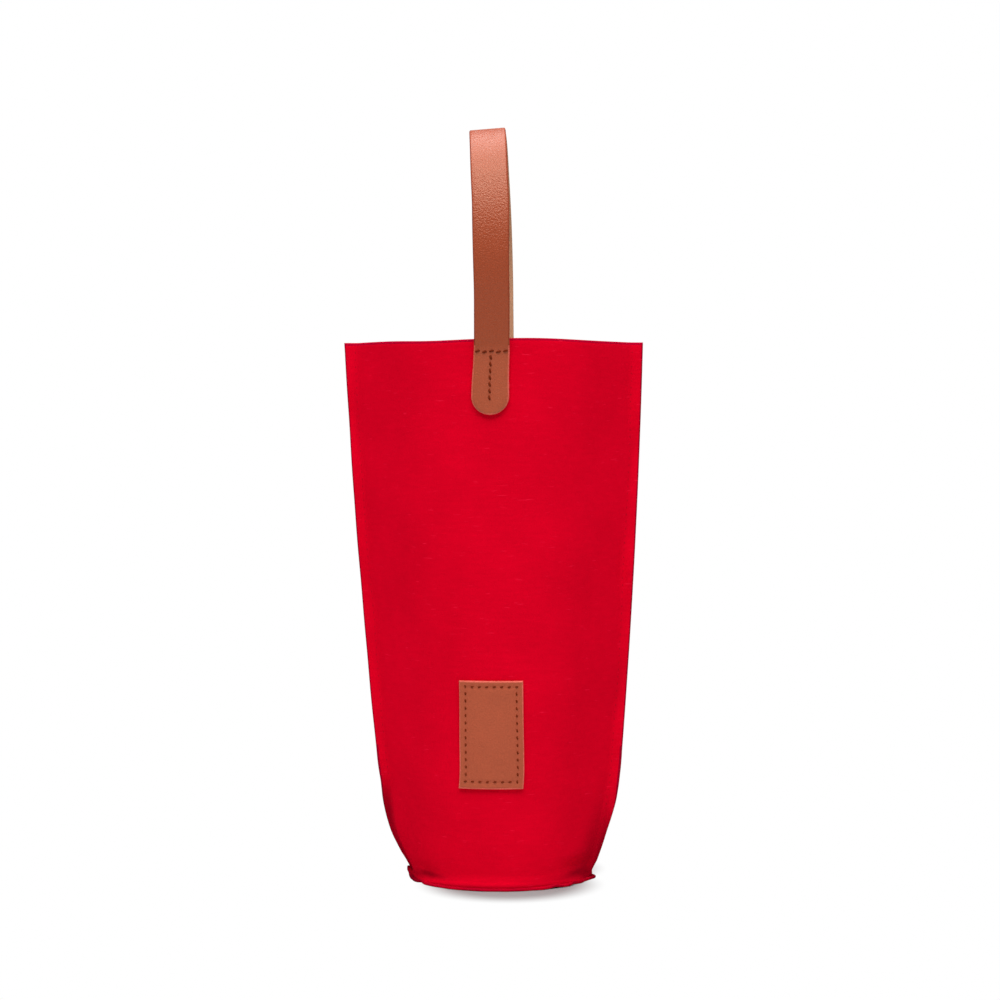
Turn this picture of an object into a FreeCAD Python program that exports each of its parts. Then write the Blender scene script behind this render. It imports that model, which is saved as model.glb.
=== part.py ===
import FreeCAD, Part
import math
import os

from FreeCAD import Vector

# A felt carrier for one bottle. Two felt panels are sewn together along both sides and to a felt
# base, every seam with its raw edges turned outward. A leather strap is sewn to the front and the
# rear panel and makes the handle, and a plain leather patch is sewn low on the front.
# Millimetres, +Z up, the front faces -Y, and the origin is on the floor under the base's middle.

# The bottle that the pouch is cut for
BOTTLE_DIAMETER = 75.0
BOTTLE_CLEARANCE = 0.8

# Felt body: widths are taken between the two side seams
FELT_THICKNESS = 2.8
BODY_HEIGHT = 252.0
MOUTH_WIDTH = 129.8
HIP_WIDTH = 105.0
HIP_HEIGHT = 60.0
BASE_WIDTH = 77.0
SIDE_BOW = 1.2
SIDE_ALLOWANCE = 5.2
BASE_ALLOWANCE = 4.8
FLANK_LENGTH = 30.0
BASE_FLANK_LENGTH = 6.0

# Leather strap: the tabs are sewn down, the free loop rises above the rim
STRAP_WIDTH = 17.0
STRAP_THICKNESS = 2.0
TAB_LENGTH = 34.8
CROSS_ROW_DROP = 6.2
TAB_TOP_DROP = 4.7
FLEX_LENGTH = 18.0
HANDLE_RISE = 101.5
LEG_LEAN = math.radians(9.0)
SHOULDER_LEAN = math.radians(25.0)

# Leather patch on the front
PATCH_WIDTH = 29.8
PATCH_HEIGHT = 49.5
PATCH_THICKNESS = 1.5
PATCH_LIFT = 46.5

# Thread
STITCH_PITCH = 3.3
STITCH_LENGTH = 2.5
STITCH_WIDTH = 0.7
STITCH_HEIGHT = 0.4
PATCH_STITCH_INSET = 3.0
TAB_STITCH_INSET = 0.5
CENTRE_ROW_LENGTH = 22.6
SIDE_STITCH_STEP = 0.8
SIDE_ROW_MARGIN = 3.0
GROOVE_OFFSET = 2.0
GROOVE_WIDTH = 1.3
GROOVE_DEPTH = 0.6

# Sewn layers lie this far apart
SEAT_GAP = 0.05

# Cross-sections that the wall is ruled between, below the hip and above it
FOOT_STEPS = 5
WALL_STEPS = 8

# Stretches that a leather strip is ruled in, where it lies on the curved front
STRIP_STEPS = 4

HALF_DEPTH = BOTTLE_DIAMETER / 2 + BOTTLE_CLEARANCE
STRAP_FACE = FELT_THICKNESS + SEAT_GAP
TAB_END_HEIGHT = BODY_HEIGHT - TAB_LENGTH
TAB_TOP_HEIGHT = BODY_HEIGHT - TAB_TOP_DROP
CROSS_ROW_HEIGHT = BODY_HEIGHT - CROSS_ROW_DROP


def below_hip(height):
    """How far a height lies below the hip: 0 at the hip and above it, 1 at the foot of the wall."""
    return max(0.0, (HIP_HEIGHT - height) / (HIP_HEIGHT - FELT_THICKNESS))


def seam_half_width(height):
    """Half the width between the side seams: a bowed taper that rounds in to the base."""
    taper = (height - HIP_HEIGHT) / (BODY_HEIGHT - HIP_HEIGHT)
    width = HIP_WIDTH + (MOUTH_WIDTH - HIP_WIDTH) * taper
    if height > HIP_HEIGHT:
        return width / 2 + SIDE_BOW * 4 * taper * (1 - taper)
    foot_taper = (HIP_HEIGHT - FELT_THICKNESS) / (BODY_HEIGHT - HIP_HEIGHT)
    foot_width = HIP_WIDTH - (MOUTH_WIDTH - HIP_WIDTH) * foot_taper
    return (width - (foot_width - BASE_WIDTH) * below_hip(height) ** 2) / 2


def front_curve(height):
    """Seam half-width, radius, centre and flank slope of the front panel's inner face.

    The panel leaves each side seam as a straight flank and rounds over the bottle in one arc.
    """
    half_width = seam_half_width(height)
    flank = FLANK_LENGTH - (FLANK_LENGTH - BASE_FLANK_LENGTH) * below_hip(height) ** 2
    radius = (half_width**2 + HALF_DEPTH**2 - flank**2) / (2 * HALF_DEPTH)
    centre = radius - HALF_DEPTH
    slope = math.atan2(radius, flank) - math.atan2(centre, half_width)
    return half_width, radius, centre, slope


def arc_end(height, offset):
    """Where the arc meets the right flank, on a face that lies offset outside the inner face."""
    _, radius, centre, slope = front_curve(height)
    reach = radius + offset
    return reach * math.sin(slope), centre - reach * math.cos(slope)


def fold_x(height):
    """Where the front panel's outer face folds into the side allowance, on the right."""
    half_width, _, _, slope = front_curve(height)
    return half_width + FELT_THICKNESS * math.tan(slope / 2)


def closed_wire(height, corners, bulges):
    """A level wire through the corners, with an arc over each corner that has a bulge point."""
    points = [Vector(x, y, height) for x, y in corners]
    edges = []
    for index, start in enumerate(points):
        end = points[(index + 1) % len(points)]
        if index in bulges:
            edges.append(Part.Arc(start, Vector(0, bulges[index], height), end).toShape())
        else:
            edges.append(Part.makeLine(start, end))
    return Part.Wire(edges)


def panel_wire(height):
    """The front panel's cross-section: wall, flanks and both flat side allowances."""
    half_width = seam_half_width(height)
    edge = half_width + SIDE_ALLOWANCE
    fold = fold_x(height)
    outer_x, outer_y = arc_end(height, FELT_THICKNESS)
    inner_x, inner_y = arc_end(height, 0)
    face = -FELT_THICKNESS
    corners = [(-edge, face), (-fold, face), (-outer_x, outer_y), (outer_x, outer_y)]
    corners += [(fold, face), (edge, face), (edge, 0), (half_width, 0)]
    corners += [(inner_x, inner_y), (-inner_x, inner_y), (-half_width, 0), (-edge, 0)]
    bulges = {2: -HALF_DEPTH - FELT_THICKNESS, 8: -HALF_DEPTH}
    return closed_wire(height, corners, bulges)


def base_plate(offset, low, thickness):
    """A plate with the outline of the base seam, grown by offset."""
    half_width, _, _, slope = front_curve(FELT_THICKNESS)
    tip = half_width + offset / math.sin(slope)
    x, y = arc_end(FELT_THICKNESS, offset)
    corners = [(-tip, 0), (-x, y), (x, y), (tip, 0), (x, -y), (-x, -y)]
    bulges = {1: -HALF_DEPTH - offset, 4: HALF_DEPTH + offset}
    face = Part.Face(closed_wire(low, corners, bulges))
    return face.extrude(Vector(0, 0, thickness))


def front_half(shape):
    """The part of a shape in front of the side seams."""
    reach = MOUTH_WIDTH
    half_space = Part.makeBox(2 * reach, reach, BODY_HEIGHT, Vector(-reach, -reach, 0))
    return shape.common(half_space)


def mirrored(shape):
    """The rear twin of a shape on the front."""
    return shape.mirror(Vector(0, 0, 0), Vector(0, 1, 0))


def front_panel():
    """The front felt panel, with its bottom allowance turned out on top of the base."""
    foot = HIP_HEIGHT - FELT_THICKNESS
    heights = [FELT_THICKNESS + foot * step / FOOT_STEPS for step in range(FOOT_STEPS)]
    rise = BODY_HEIGHT - HIP_HEIGHT
    heights += [HIP_HEIGHT + rise * step / WALL_STEPS for step in range(WALL_STEPS + 1)]
    wall = Part.makeLoft([panel_wire(height) for height in heights], True, True)
    lip = base_plate(BASE_ALLOWANCE, FELT_THICKNESS, FELT_THICKNESS)
    lip = lip.cut(base_plate(FELT_THICKNESS / 2, FELT_THICKNESS, FELT_THICKNESS))
    return wall.fuse(front_half(lip)).removeSplitter()


def base_disc():
    """The felt base, with the groove that the base thread presses into its underside."""
    disc = base_plate(BASE_ALLOWANCE, 0, FELT_THICKNESS)
    groove = base_plate(GROOVE_OFFSET + GROOVE_WIDTH / 2, 0, GROOVE_DEPTH)
    groove = groove.cut(base_plate(GROOVE_OFFSET - GROOVE_WIDTH / 2, 0, GROOVE_DEPTH))
    return disc.cut(groove)


def strip_wire(middle, lean, width, thickness, bow_radius):
    """A leather strip's cross-section, standing on its inner face's middle point.

    The strip leans outward by lean and is bowed round the pouch, or flat without a bow radius.
    """
    inward = Vector(0, math.cos(lean), math.sin(lean))
    inner_sag = outer_sag = 0
    if bow_radius is not None:
        outer_radius = bow_radius + thickness
        inner_sag = bow_radius - math.sqrt(bow_radius**2 - width**2 / 4)
        outer_sag = outer_radius - math.sqrt(outer_radius**2 - width**2 / 4)
    outside = middle - inward * thickness
    side = Vector(width / 2, 0, 0)
    inner_left = middle + inward * inner_sag - side
    inner_right = middle + inward * inner_sag + side
    outer_left = outside + inward * outer_sag - side
    outer_right = outside + inward * outer_sag + side
    if bow_radius is None:
        inner = Part.makeLine(inner_left, inner_right)
        outer = Part.makeLine(outer_right, outer_left)
    else:
        inner = Part.Arc(inner_left, middle, inner_right).toShape()
        outer = Part.Arc(outer_right, outside, outer_left).toShape()
    right = Part.makeLine(inner_right, outer_right)
    left = Part.makeLine(outer_left, inner_left)
    return Part.Wire([inner, right, outer, left])


def leather_on_front(width, thickness, low, high):
    """A square-cut leather strip lying on the front panel."""
    wires = []
    for step in range(STRIP_STEPS + 1):
        height = low + (high - low) * step / STRIP_STEPS
        radius = front_curve(height)[1] + STRAP_FACE
        middle = Vector(0, -HALF_DEPTH - STRAP_FACE, height)
        wires.append(strip_wire(middle, 0, width, thickness, radius))
    return Part.makeLoft(wires, True, True)


def rounded(strip, width, low, high, corner):
    """The part of a strip inside an outline with round corners, seen from the front."""
    outline_width = width + 2 * SEAT_GAP
    depth = 2 * HALF_DEPTH
    corner_point = Vector(-outline_width / 2, -depth, low)
    outline = Part.makeBox(outline_width, depth, high - low, corner_point)
    upright = [edge for edge in outline.Edges if abs(edge.tangentAt(edge.FirstParameter).y) > 0.5]
    return strip.common(outline.makeFillet(corner, upright))


def flex_point(lean):
    """A point on the strap's inner face in the flexing stretch, where the strap has this lean."""
    bend_radius = FLEX_LENGTH / LEG_LEAN
    out = HALF_DEPTH + STRAP_FACE + bend_radius * (1 - math.cos(lean))
    return Vector(0, -out, TAB_TOP_HEIGHT + bend_radius * math.sin(lean))


def strap_front_end():
    """The sewn tab with its round end, and the stretch above it in which the strap flexes."""
    tab = leather_on_front(STRAP_WIDTH, STRAP_THICKNESS, TAB_END_HEIGHT, TAB_TOP_HEIGHT)
    beyond = TAB_TOP_HEIGHT + STRAP_WIDTH
    tab = rounded(tab, STRAP_WIDTH, TAB_END_HEIGHT, beyond, STRAP_WIDTH / 2)
    radius = front_curve(TAB_TOP_HEIGHT)[1] + STRAP_FACE
    wires = []
    for share, bow_radius in ((0, radius), (0.5, 2 * radius), (1, None)):
        lean = LEG_LEAN * share
        wires.append(strip_wire(flex_point(lean), lean, STRAP_WIDTH, STRAP_THICKNESS, bow_radius))
    return tab.fuse(Part.makeLoft(wires, True)).removeSplitter()


def strap_loop():
    """The free loop: two wide shoulder arcs and a top arc, all tangent, across the strap's width."""
    start = flex_point(LEG_LEAN)
    crown = BODY_HEIGHT + HANDLE_RISE - STRAP_THICKNESS
    share = (1 - math.sin(SHOULDER_LEAN)) / math.cos(SHOULDER_LEAN)
    climb = math.sin(LEG_LEAN) + math.sin(SHOULDER_LEAN)
    climb -= (math.cos(LEG_LEAN) - math.cos(SHOULDER_LEAN)) * share
    shoulder_radius = (crown - start.z + start.y * share) / climb
    centre = start + Vector(0, math.cos(LEG_LEAN), math.sin(LEG_LEAN)) * shoulder_radius

    def shoulder_point(lean, offset):
        return centre - Vector(0, math.cos(lean), math.sin(lean)) * (shoulder_radius + offset)

    def across(point):
        return Vector(0, -point.y, point.z)

    def half_profile(offset):
        lean_middle = (LEG_LEAN - SHOULDER_LEAN) / 2
        return [shoulder_point(lean, offset) for lean in (LEG_LEAN, lean_middle, -SHOULDER_LEAN)]

    edges = []
    for offset in (0, STRAP_THICKNESS):
        foot, middle, top = half_profile(offset)
        edges.append(Part.Arc(foot, middle, top).toShape())
        edges.append(Part.Arc(top, Vector(0, 0, crown + offset), across(top)).toShape())
        edges.append(Part.Arc(across(top), across(middle), across(foot)).toShape())
    inner_foot = half_profile(0)[0]
    outer_foot = half_profile(STRAP_THICKNESS)[0]
    edges.append(Part.makeLine(inner_foot, outer_foot))
    edges.append(Part.makeLine(across(inner_foot), across(outer_foot)))
    profile = Part.Face(Part.Wire(Part.__sortEdges__(edges)))
    profile.translate(Vector(-STRAP_WIDTH / 2, 0, 0))
    return profile.extrude(Vector(STRAP_WIDTH, 0, 0))


def stitch(middle, along, outward):
    """One stitch that lies on a face with this outward direction, narrower at its crest."""
    across = outward.cross(along)
    foot = middle + outward * SEAT_GAP - along * (STITCH_LENGTH / 2)
    crest = foot + outward * STITCH_HEIGHT
    corners = [foot - across * (STITCH_WIDTH / 2), foot + across * (STITCH_WIDTH / 2)]
    corners += [crest + across * (STITCH_WIDTH / 4), crest - across * (STITCH_WIDTH / 4)]
    end = Part.Face(Part.makePolygon(corners, True))
    return end.extrude(along * STITCH_LENGTH)


def stitch_on_front(reach, height, offset, upright):
    """One stitch on the front, at a reach along the curve, offset outside the felt's inner face."""
    _, radius, centre, _ = front_curve(height)
    radius += offset
    angle = reach / radius
    outward = Vector(math.sin(angle), -math.cos(angle), 0)
    along = Vector(0, 0, 1) if upright else Vector(math.cos(angle), math.sin(angle), 0)
    return stitch(Vector(0, centre, height) + outward * radius, along, outward)


def row_places(low, high):
    """Middles of the stitches that fill a row between two ends."""
    count = max(1, round((high - low) / STITCH_PITCH))
    return [low + (high - low) * (index + 0.5) / count for index in range(count)]


def front_tab_stitching():
    """The T of thread on the front tab: a row across it and a row down its middle."""
    face = STRAP_FACE + STRAP_THICKNESS
    reach = STRAP_WIDTH / 2 - TAB_STITCH_INSET
    stitches = [stitch_on_front(x, CROSS_ROW_HEIGHT, face, False) for x in row_places(-reach, reach)]
    row_top = CROSS_ROW_HEIGHT - STITCH_WIDTH
    for height in row_places(row_top - CENTRE_ROW_LENGTH, row_top):
        stitches.append(stitch_on_front(0, height, face, True))
    return Part.makeCompound(stitches)


def patch_stitching():
    """The rectangle of thread that holds the patch."""
    face = STRAP_FACE + PATCH_THICKNESS
    reach = PATCH_WIDTH / 2 - PATCH_STITCH_INSET
    low = PATCH_LIFT + PATCH_STITCH_INSET
    high = PATCH_LIFT + PATCH_HEIGHT - PATCH_STITCH_INSET
    stitches = []
    for height in (low, high):
        stitches += [stitch_on_front(x, height, face, False) for x in row_places(-reach, reach)]
    for x in (-reach, reach):
        stitches += [stitch_on_front(x, height, face, True) for height in row_places(low, high)]
    return Part.makeCompound(stitches)


def right_side_stitching():
    """Both faces of the right side seam, in the fold between the wall and the flat allowance."""
    low = 2 * FELT_THICKNESS + SIDE_ROW_MARGIN
    high = BODY_HEIGHT - SIDE_ROW_MARGIN
    stitches = []
    for height in row_places(low, high):
        middle = Vector(fold_x(height) + SIDE_STITCH_STEP, -FELT_THICKNESS, height)
        step = fold_x(height + STITCH_LENGTH / 2) - fold_x(height - STITCH_LENGTH / 2)
        along = Vector(step, 0, STITCH_LENGTH).normalize()
        stitches.append(stitch(middle, along, Vector(0, -1, 0)))
    front = Part.makeCompound(stitches)
    return Part.makeCompound(stitches + mirrored(front).Solids)


def base_stitching():
    """The ring of thread that lies in the groove under the base."""
    groove_floor = base_plate(GROOVE_OFFSET, GROOVE_DEPTH, FELT_THICKNESS).Faces
    ring = min(groove_floor, key=lambda face: face.CenterOfMass.z).OuterWire
    count = round(ring.Length / STITCH_PITCH)
    points = ring.discretize(Number=2 * count + 1)
    stitches = []
    for index in range(count):
        start, middle, end = points[2 * index : 2 * index + 3]
        stitches.append(stitch(middle, (end - start).normalize(), Vector(0, 0, -1)))
    return Part.makeCompound(stitches)


def build():
    """Every piece of the carrier by its node's name."""
    front = front_panel()
    strap_end = strap_front_end()
    tab_thread = front_tab_stitching()
    right_thread = right_side_stitching()
    patch_top = PATCH_LIFT + PATCH_HEIGHT
    patch = leather_on_front(PATCH_WIDTH, PATCH_THICKNESS, PATCH_LIFT, patch_top)
    return {
        "front_panel": front,
        "rear_panel": mirrored(front),
        "base_disc": base_disc(),
        "right_side_stitching": right_thread,
        "left_side_stitching": right_thread.mirror(Vector(0, 0, 0), Vector(1, 0, 0)),
        "base_stitching": base_stitching(),
        "strap_front_end": strap_end,
        "strap_loop": strap_loop(),
        "strap_rear_end": mirrored(strap_end),
        "front_tab_stitching": tab_thread,
        "rear_tab_stitching": mirrored(tab_thread),
        "patch": patch,
        "patch_stitching": patch_stitching(),
    }


os.makedirs("parts", exist_ok=True)
for node, shape in build().items():
    shape.exportStep(f"parts/{node}.step")
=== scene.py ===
"""A felt bottle carrier with a leather strap, modelled as it is made.

Felt and leather are cut flat, formed over the pouch, given their thickness and sewn. Sizes are in
metres and angles in radians.
"""
import math
from collections import namedtuple
from contextlib import contextmanager

import bpy
import numpy as np
from bpy.props import FloatProperty, FloatVectorProperty, PointerProperty
from mathutils import Matrix, Vector


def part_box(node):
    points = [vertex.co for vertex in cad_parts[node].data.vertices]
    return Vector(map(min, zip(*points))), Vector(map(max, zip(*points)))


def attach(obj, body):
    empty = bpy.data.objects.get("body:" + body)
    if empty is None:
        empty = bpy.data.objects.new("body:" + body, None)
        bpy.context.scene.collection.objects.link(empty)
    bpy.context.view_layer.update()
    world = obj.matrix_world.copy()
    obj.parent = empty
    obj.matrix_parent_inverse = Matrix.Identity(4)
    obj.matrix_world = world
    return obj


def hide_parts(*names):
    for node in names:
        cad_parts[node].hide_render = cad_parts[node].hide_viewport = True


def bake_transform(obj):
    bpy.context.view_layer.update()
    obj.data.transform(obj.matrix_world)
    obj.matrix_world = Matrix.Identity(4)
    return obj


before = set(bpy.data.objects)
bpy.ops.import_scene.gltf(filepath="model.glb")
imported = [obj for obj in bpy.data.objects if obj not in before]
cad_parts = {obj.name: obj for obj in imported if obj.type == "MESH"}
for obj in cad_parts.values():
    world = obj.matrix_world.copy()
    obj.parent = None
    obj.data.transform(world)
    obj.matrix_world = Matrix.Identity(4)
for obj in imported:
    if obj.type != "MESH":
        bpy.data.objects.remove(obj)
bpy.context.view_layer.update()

bl_info = {
    "name": "Felt Bottle Carrier",
    "version": (1, 0, 0),
    "blender": (4, 5, 0),
    "location": "View3D > Sidebar > Carrier",
    "description": "Models a felt bottle carrier with a leather strap, a patch and its stitching",
    "category": "Add Mesh",
}

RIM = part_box("front_panel")[1].z
TAB_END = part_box("strap_front_end")[0].z
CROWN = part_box("strap_loop")[1].z
CROWN_SAG = 0.0011  # how far the loop has settled below its drawn height
PATCH_LOW, PATCH_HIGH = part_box("patch")
PATCH_TRIM = 0.0003  # how much narrower the patch is cut than it is drawn


# Settings


def length(name, description, value):
    """A size in metres."""
    return FloatProperty(name=name, description=description, default=value, unit="LENGTH", precision=5)


def angle(name, description, degrees):
    """An angle, kept in radians."""
    return FloatProperty(name=name, description=description, default=math.radians(degrees), subtype="ANGLE")


def number(name, description, value, unit="NONE"):
    """A plain number, or one in a unit other than metres."""
    return FloatProperty(name=name, description=description, default=value, unit=unit, precision=4)


def colour(name, description, value):
    """A linear colour."""
    return FloatVectorProperty(name=name, description=description, default=value, subtype="COLOR",
                               min=0, max=1)


class FeltSizes(bpy.types.PropertyGroup):
    """How the felt is cut and formed."""

    thickness: length("Thickness", "Thickness of the felt", 0.0028)
    rim_height: length("Rim height", "Height of the rim above the floor", RIM)
    half_depth: length("Half depth", "From the side seams to the inside of the front", 0.0383)
    mouth_width: length("Mouth width", "Width between the side seams at the rim", 0.1298)
    hip_width: length("Hip width", "Width between the side seams where the sides start to round in", 0.105)
    hip_height: length("Hip height", "Height where the sides start to round in", 0.06)
    foot_width: length("Foot width", "Width between the side seams on the base", 0.077)
    side_bow: length("Side bow", "Outward bow of the sides between hip and rim", 0.0012)
    flank: length("Flank", "Straight run of the wall beside a seam", 0.03)
    foot_flank: length("Foot flank", "Straight run beside a seam on the base", 0.006)
    side_allowance: length("Side allowance", "Felt outside the side seams", 0.0056)
    base_allowance: length("Base allowance", "Felt outside the base seam", 0.0048)
    fold_softness: length("Fold softness", "Reach of the soft bend beside a side seam", 0.0022)
    lean: number("Lean", "Sideways drift of the standing pouch for each metre of height", -0.0142)
    plumb: length("Plumb height", "Height at which the drift is nothing", 0.03)
    left_turn: angle("Left turn", "How far the foot of the left side allowance is folded back", 48)
    right_turn: angle("Right turn", "How far the foot of the right side allowance is folded back", 58)
    bulge: length("Bulge", "How far the left seam stands out above the base", 0.0022)
    spare: number("Spare", "How much wider the left allowance is there", 0.40)
    ridge: length("Ridge", "How far the front stands out beside the foot of the left seam", 0.0012)
    twist: angle("Twist", "How far the foot of the pouch is turned, its right side to the front", 6)
    edge_round: length("Edge rounding", "How far the cut edges of the felt are rounded", 0.0012)


class LeatherSizes(bpy.types.PropertyGroup):
    """How the strap and the patch are cut and laid."""

    strap_width: length("Strap width", "Width of the free strap", 0.0162)
    tab_width: length("Tab width", "Width of the sewn tabs", 0.0171)
    strap_thickness: length("Strap thickness", "Thickness of the strap", 0.002)
    tab_end: length("Tab end", "Height of the round tab ends", TAB_END)
    tab_top: length("Tab top", "Height where the strap leaves the felt", 0.2430)
    flex: length("Flex", "Stretch over which the strap turns outward", 0.008)
    leg: length("Leg", "Straight stretch of the strap above the rim", 0.024)
    crown: length("Crown", "Height of the top of the loop", CROWN - CROWN_SAG)
    leg_lean: angle("Leg lean", "Outward lean of the strap above the rim", 9)
    shoulder_lean: angle("Shoulder lean", "Inward lean where the top arc starts", 25)
    seat_gap: length("Seat gap", "Gap between sewn layers", 0.00005)
    edge_round: length("Edge rounding", "How far the cut edges of the leather are rounded", 0.0007)
    patch_width: length("Patch width", "Width of the patch", PATCH_HIGH.x - PATCH_LOW.x - PATCH_TRIM)
    patch_low: length("Patch foot", "Height of the patch's lower edge", PATCH_LOW.z)
    patch_high: length("Patch head", "Height of the patch's upper edge", PATCH_HIGH.z)
    patch_drift: length("Patch drift", "How far the patch is sewn off the middle", -0.0012)
    patch_thickness: length("Patch thickness", "Thickness of the patch", 0.0015)


class ThreadSizes(bpy.types.PropertyGroup):
    """The sewing thread."""

    pitch: length("Pitch", "From stitch to stitch", 0.0033)
    stitch: length("Stitch", "Length of a stitch", 0.0023)
    width: length("Width", "Width of the thread", 0.0008)
    patch_inset: length("Patch inset", "From the patch's edge to its stitches", 0.003)
    cross_row: length("Cross row", "Height of the stitches across a tab", 0.2458)
    tab_pitch: length("Tab pitch", "From stitch to stitch on a tab", 0.00305)
    patch_stitch: length("Patch stitch", "Length of a stitch on the patch", 0.0015)


class CarrierColours(bpy.types.PropertyGroup):
    """Colours of the finishes."""

    felt: colour("Felt", "Pressed felt", (0.70, 0.0006, 0.0165))
    felt_shade: colour("Felt shade", "Darker fibres of the felt", (0.60, 0.0005, 0.0135))
    felt_wisp: colour("Felt wisps", "Lone pale fibres of the felt", (0.77, 0.007, 0.033))
    felt_fuzz: colour("Felt fuzz", "Sheen of the felt", (1.0, 0.01, 0.06))
    # Painted shade: what is left of the felt's colour where shade is painted on it.
    felt_painted_shade: colour("Felt wear", "What is left of the colour where it is pressed", (0.35, 0.35, 0.45))
    # Partly painted shade: the base's cut edge is darker than the lip's, for the shade under the lip.
    felt_edge: colour("Felt edge", "Cut edge of the base", (0.42, 0.0015, 0.020))
    felt_rim: colour("Felt rim", "Darker fibres in the cut edge of a panel", (0.26, 0.0010, 0.016))
    felt_thread: colour("Felt thread", "Thread of the felt seams", (0.56, 0.0008, 0.013))
    leather: colour("Leather", "Face of the leather", (0.405, 0.080, 0.034))
    patch: colour("Patch", "Face of the patch", (0.475, 0.092, 0.037))
    leather_shade: colour("Leather shade", "Darker grain of the leather", (0.335, 0.066, 0.028))
    strap_shine: colour("Strap shine", "Tint of the strap's highlights", (1.0, 0.80, 0.62))
    # Painted shade: what is left of the strap's colour above its tabs, where its legs face down, away from
    # the light.
    strap_painted_shade: colour("Strap wear", "What is left of the colour where it is held", (0.84, 0.71, 0.56))
    # Partly painted light: the cut edge of the tabs and the patch is coloured light for the light that the
    # felt bounces onto it.
    leather_edge_and_bounce: colour("Leather edge", "Cut edge of the leather", (0.80, 0.150, 0.120))
    leather_back: colour("Leather back", "Raw back of the strap", (0.56, 0.31, 0.18))
    leather_thread: colour("Leather thread", "Thread on the leather", (0.205, 0.026, 0.005))
    floor: colour("Floor", "Studio floor", (0.28, 0.28, 0.28))


class StageSettings(bpy.types.PropertyGroup):
    """Camera and light."""

    turn: angle("Turn", "How far the camera stands to the right of the front", 3)
    pitch: angle("Pitch", "How far the camera looks down", 0.79)
    eye_height: length("Eye height", "Height of the camera", 0.1939)
    distance: length("Distance", "From the camera to the upright middle of the pouch", 1.16)
    lens: number("Lens", "Focal length in millimetres", 88.45, "CAMERA")
    key: number("Key light", "Power of the overhead softbox in watts", 24.0, "POWER")
    front: number("Front light", "Power of the front softbox in watts", 32.5, "POWER")
    sky: number("Sky", "Strength of the even light all round", 0.17)


SETTINGS = {
    "carrier_felt": FeltSizes,
    "carrier_leather": LeatherSizes,
    "carrier_thread": ThreadSizes,
    "carrier_colours": CarrierColours,
    "carrier_stage": StageSettings,
}


# Shapes


def ease(value, start, span):
    """Eased step from 0 at the start to 1 at the end of the span. The two are kept as a pair."""
    step = np.clip((value - start) / span, 0.0, 1.0)
    return step * step * (3 - 2 * step)


def ease_sides(left, value, pairs):
    """Eased step with one start and span on the left and others on the right."""
    return np.where(left, ease(value, *pairs[0]), ease(value, *pairs[1]))


def bell(value, middle, reach):
    """A soft bump, 1 at its middle."""
    return np.exp(-(((value - middle) / reach) ** 2))


def matched(first, second):
    """Two numbers or arrays as arrays of one shape."""
    return np.broadcast_arrays(np.asarray(first, float), np.asarray(second, float))


def unit(directions):
    """Directions at a length of 1."""
    return directions / np.linalg.norm(directions, axis=-1, keepdims=True)


def facing(place, across, along, step):
    """The direction that a surface faces, from places a step to every side."""
    wide = place(across + step, along) - place(across - step, along)
    tall = place(across, along + step) - place(across, along - step)
    return unit(np.cross(wide, tall))


# A panel at one height: radius, centre and end of its arc, place of the fold, lengths of arc, straight run,
# the wall that they make, and the allowance outside the fold.
Section = namedtuple("Section", "radius centre end fold arc run wall edge")


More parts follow.
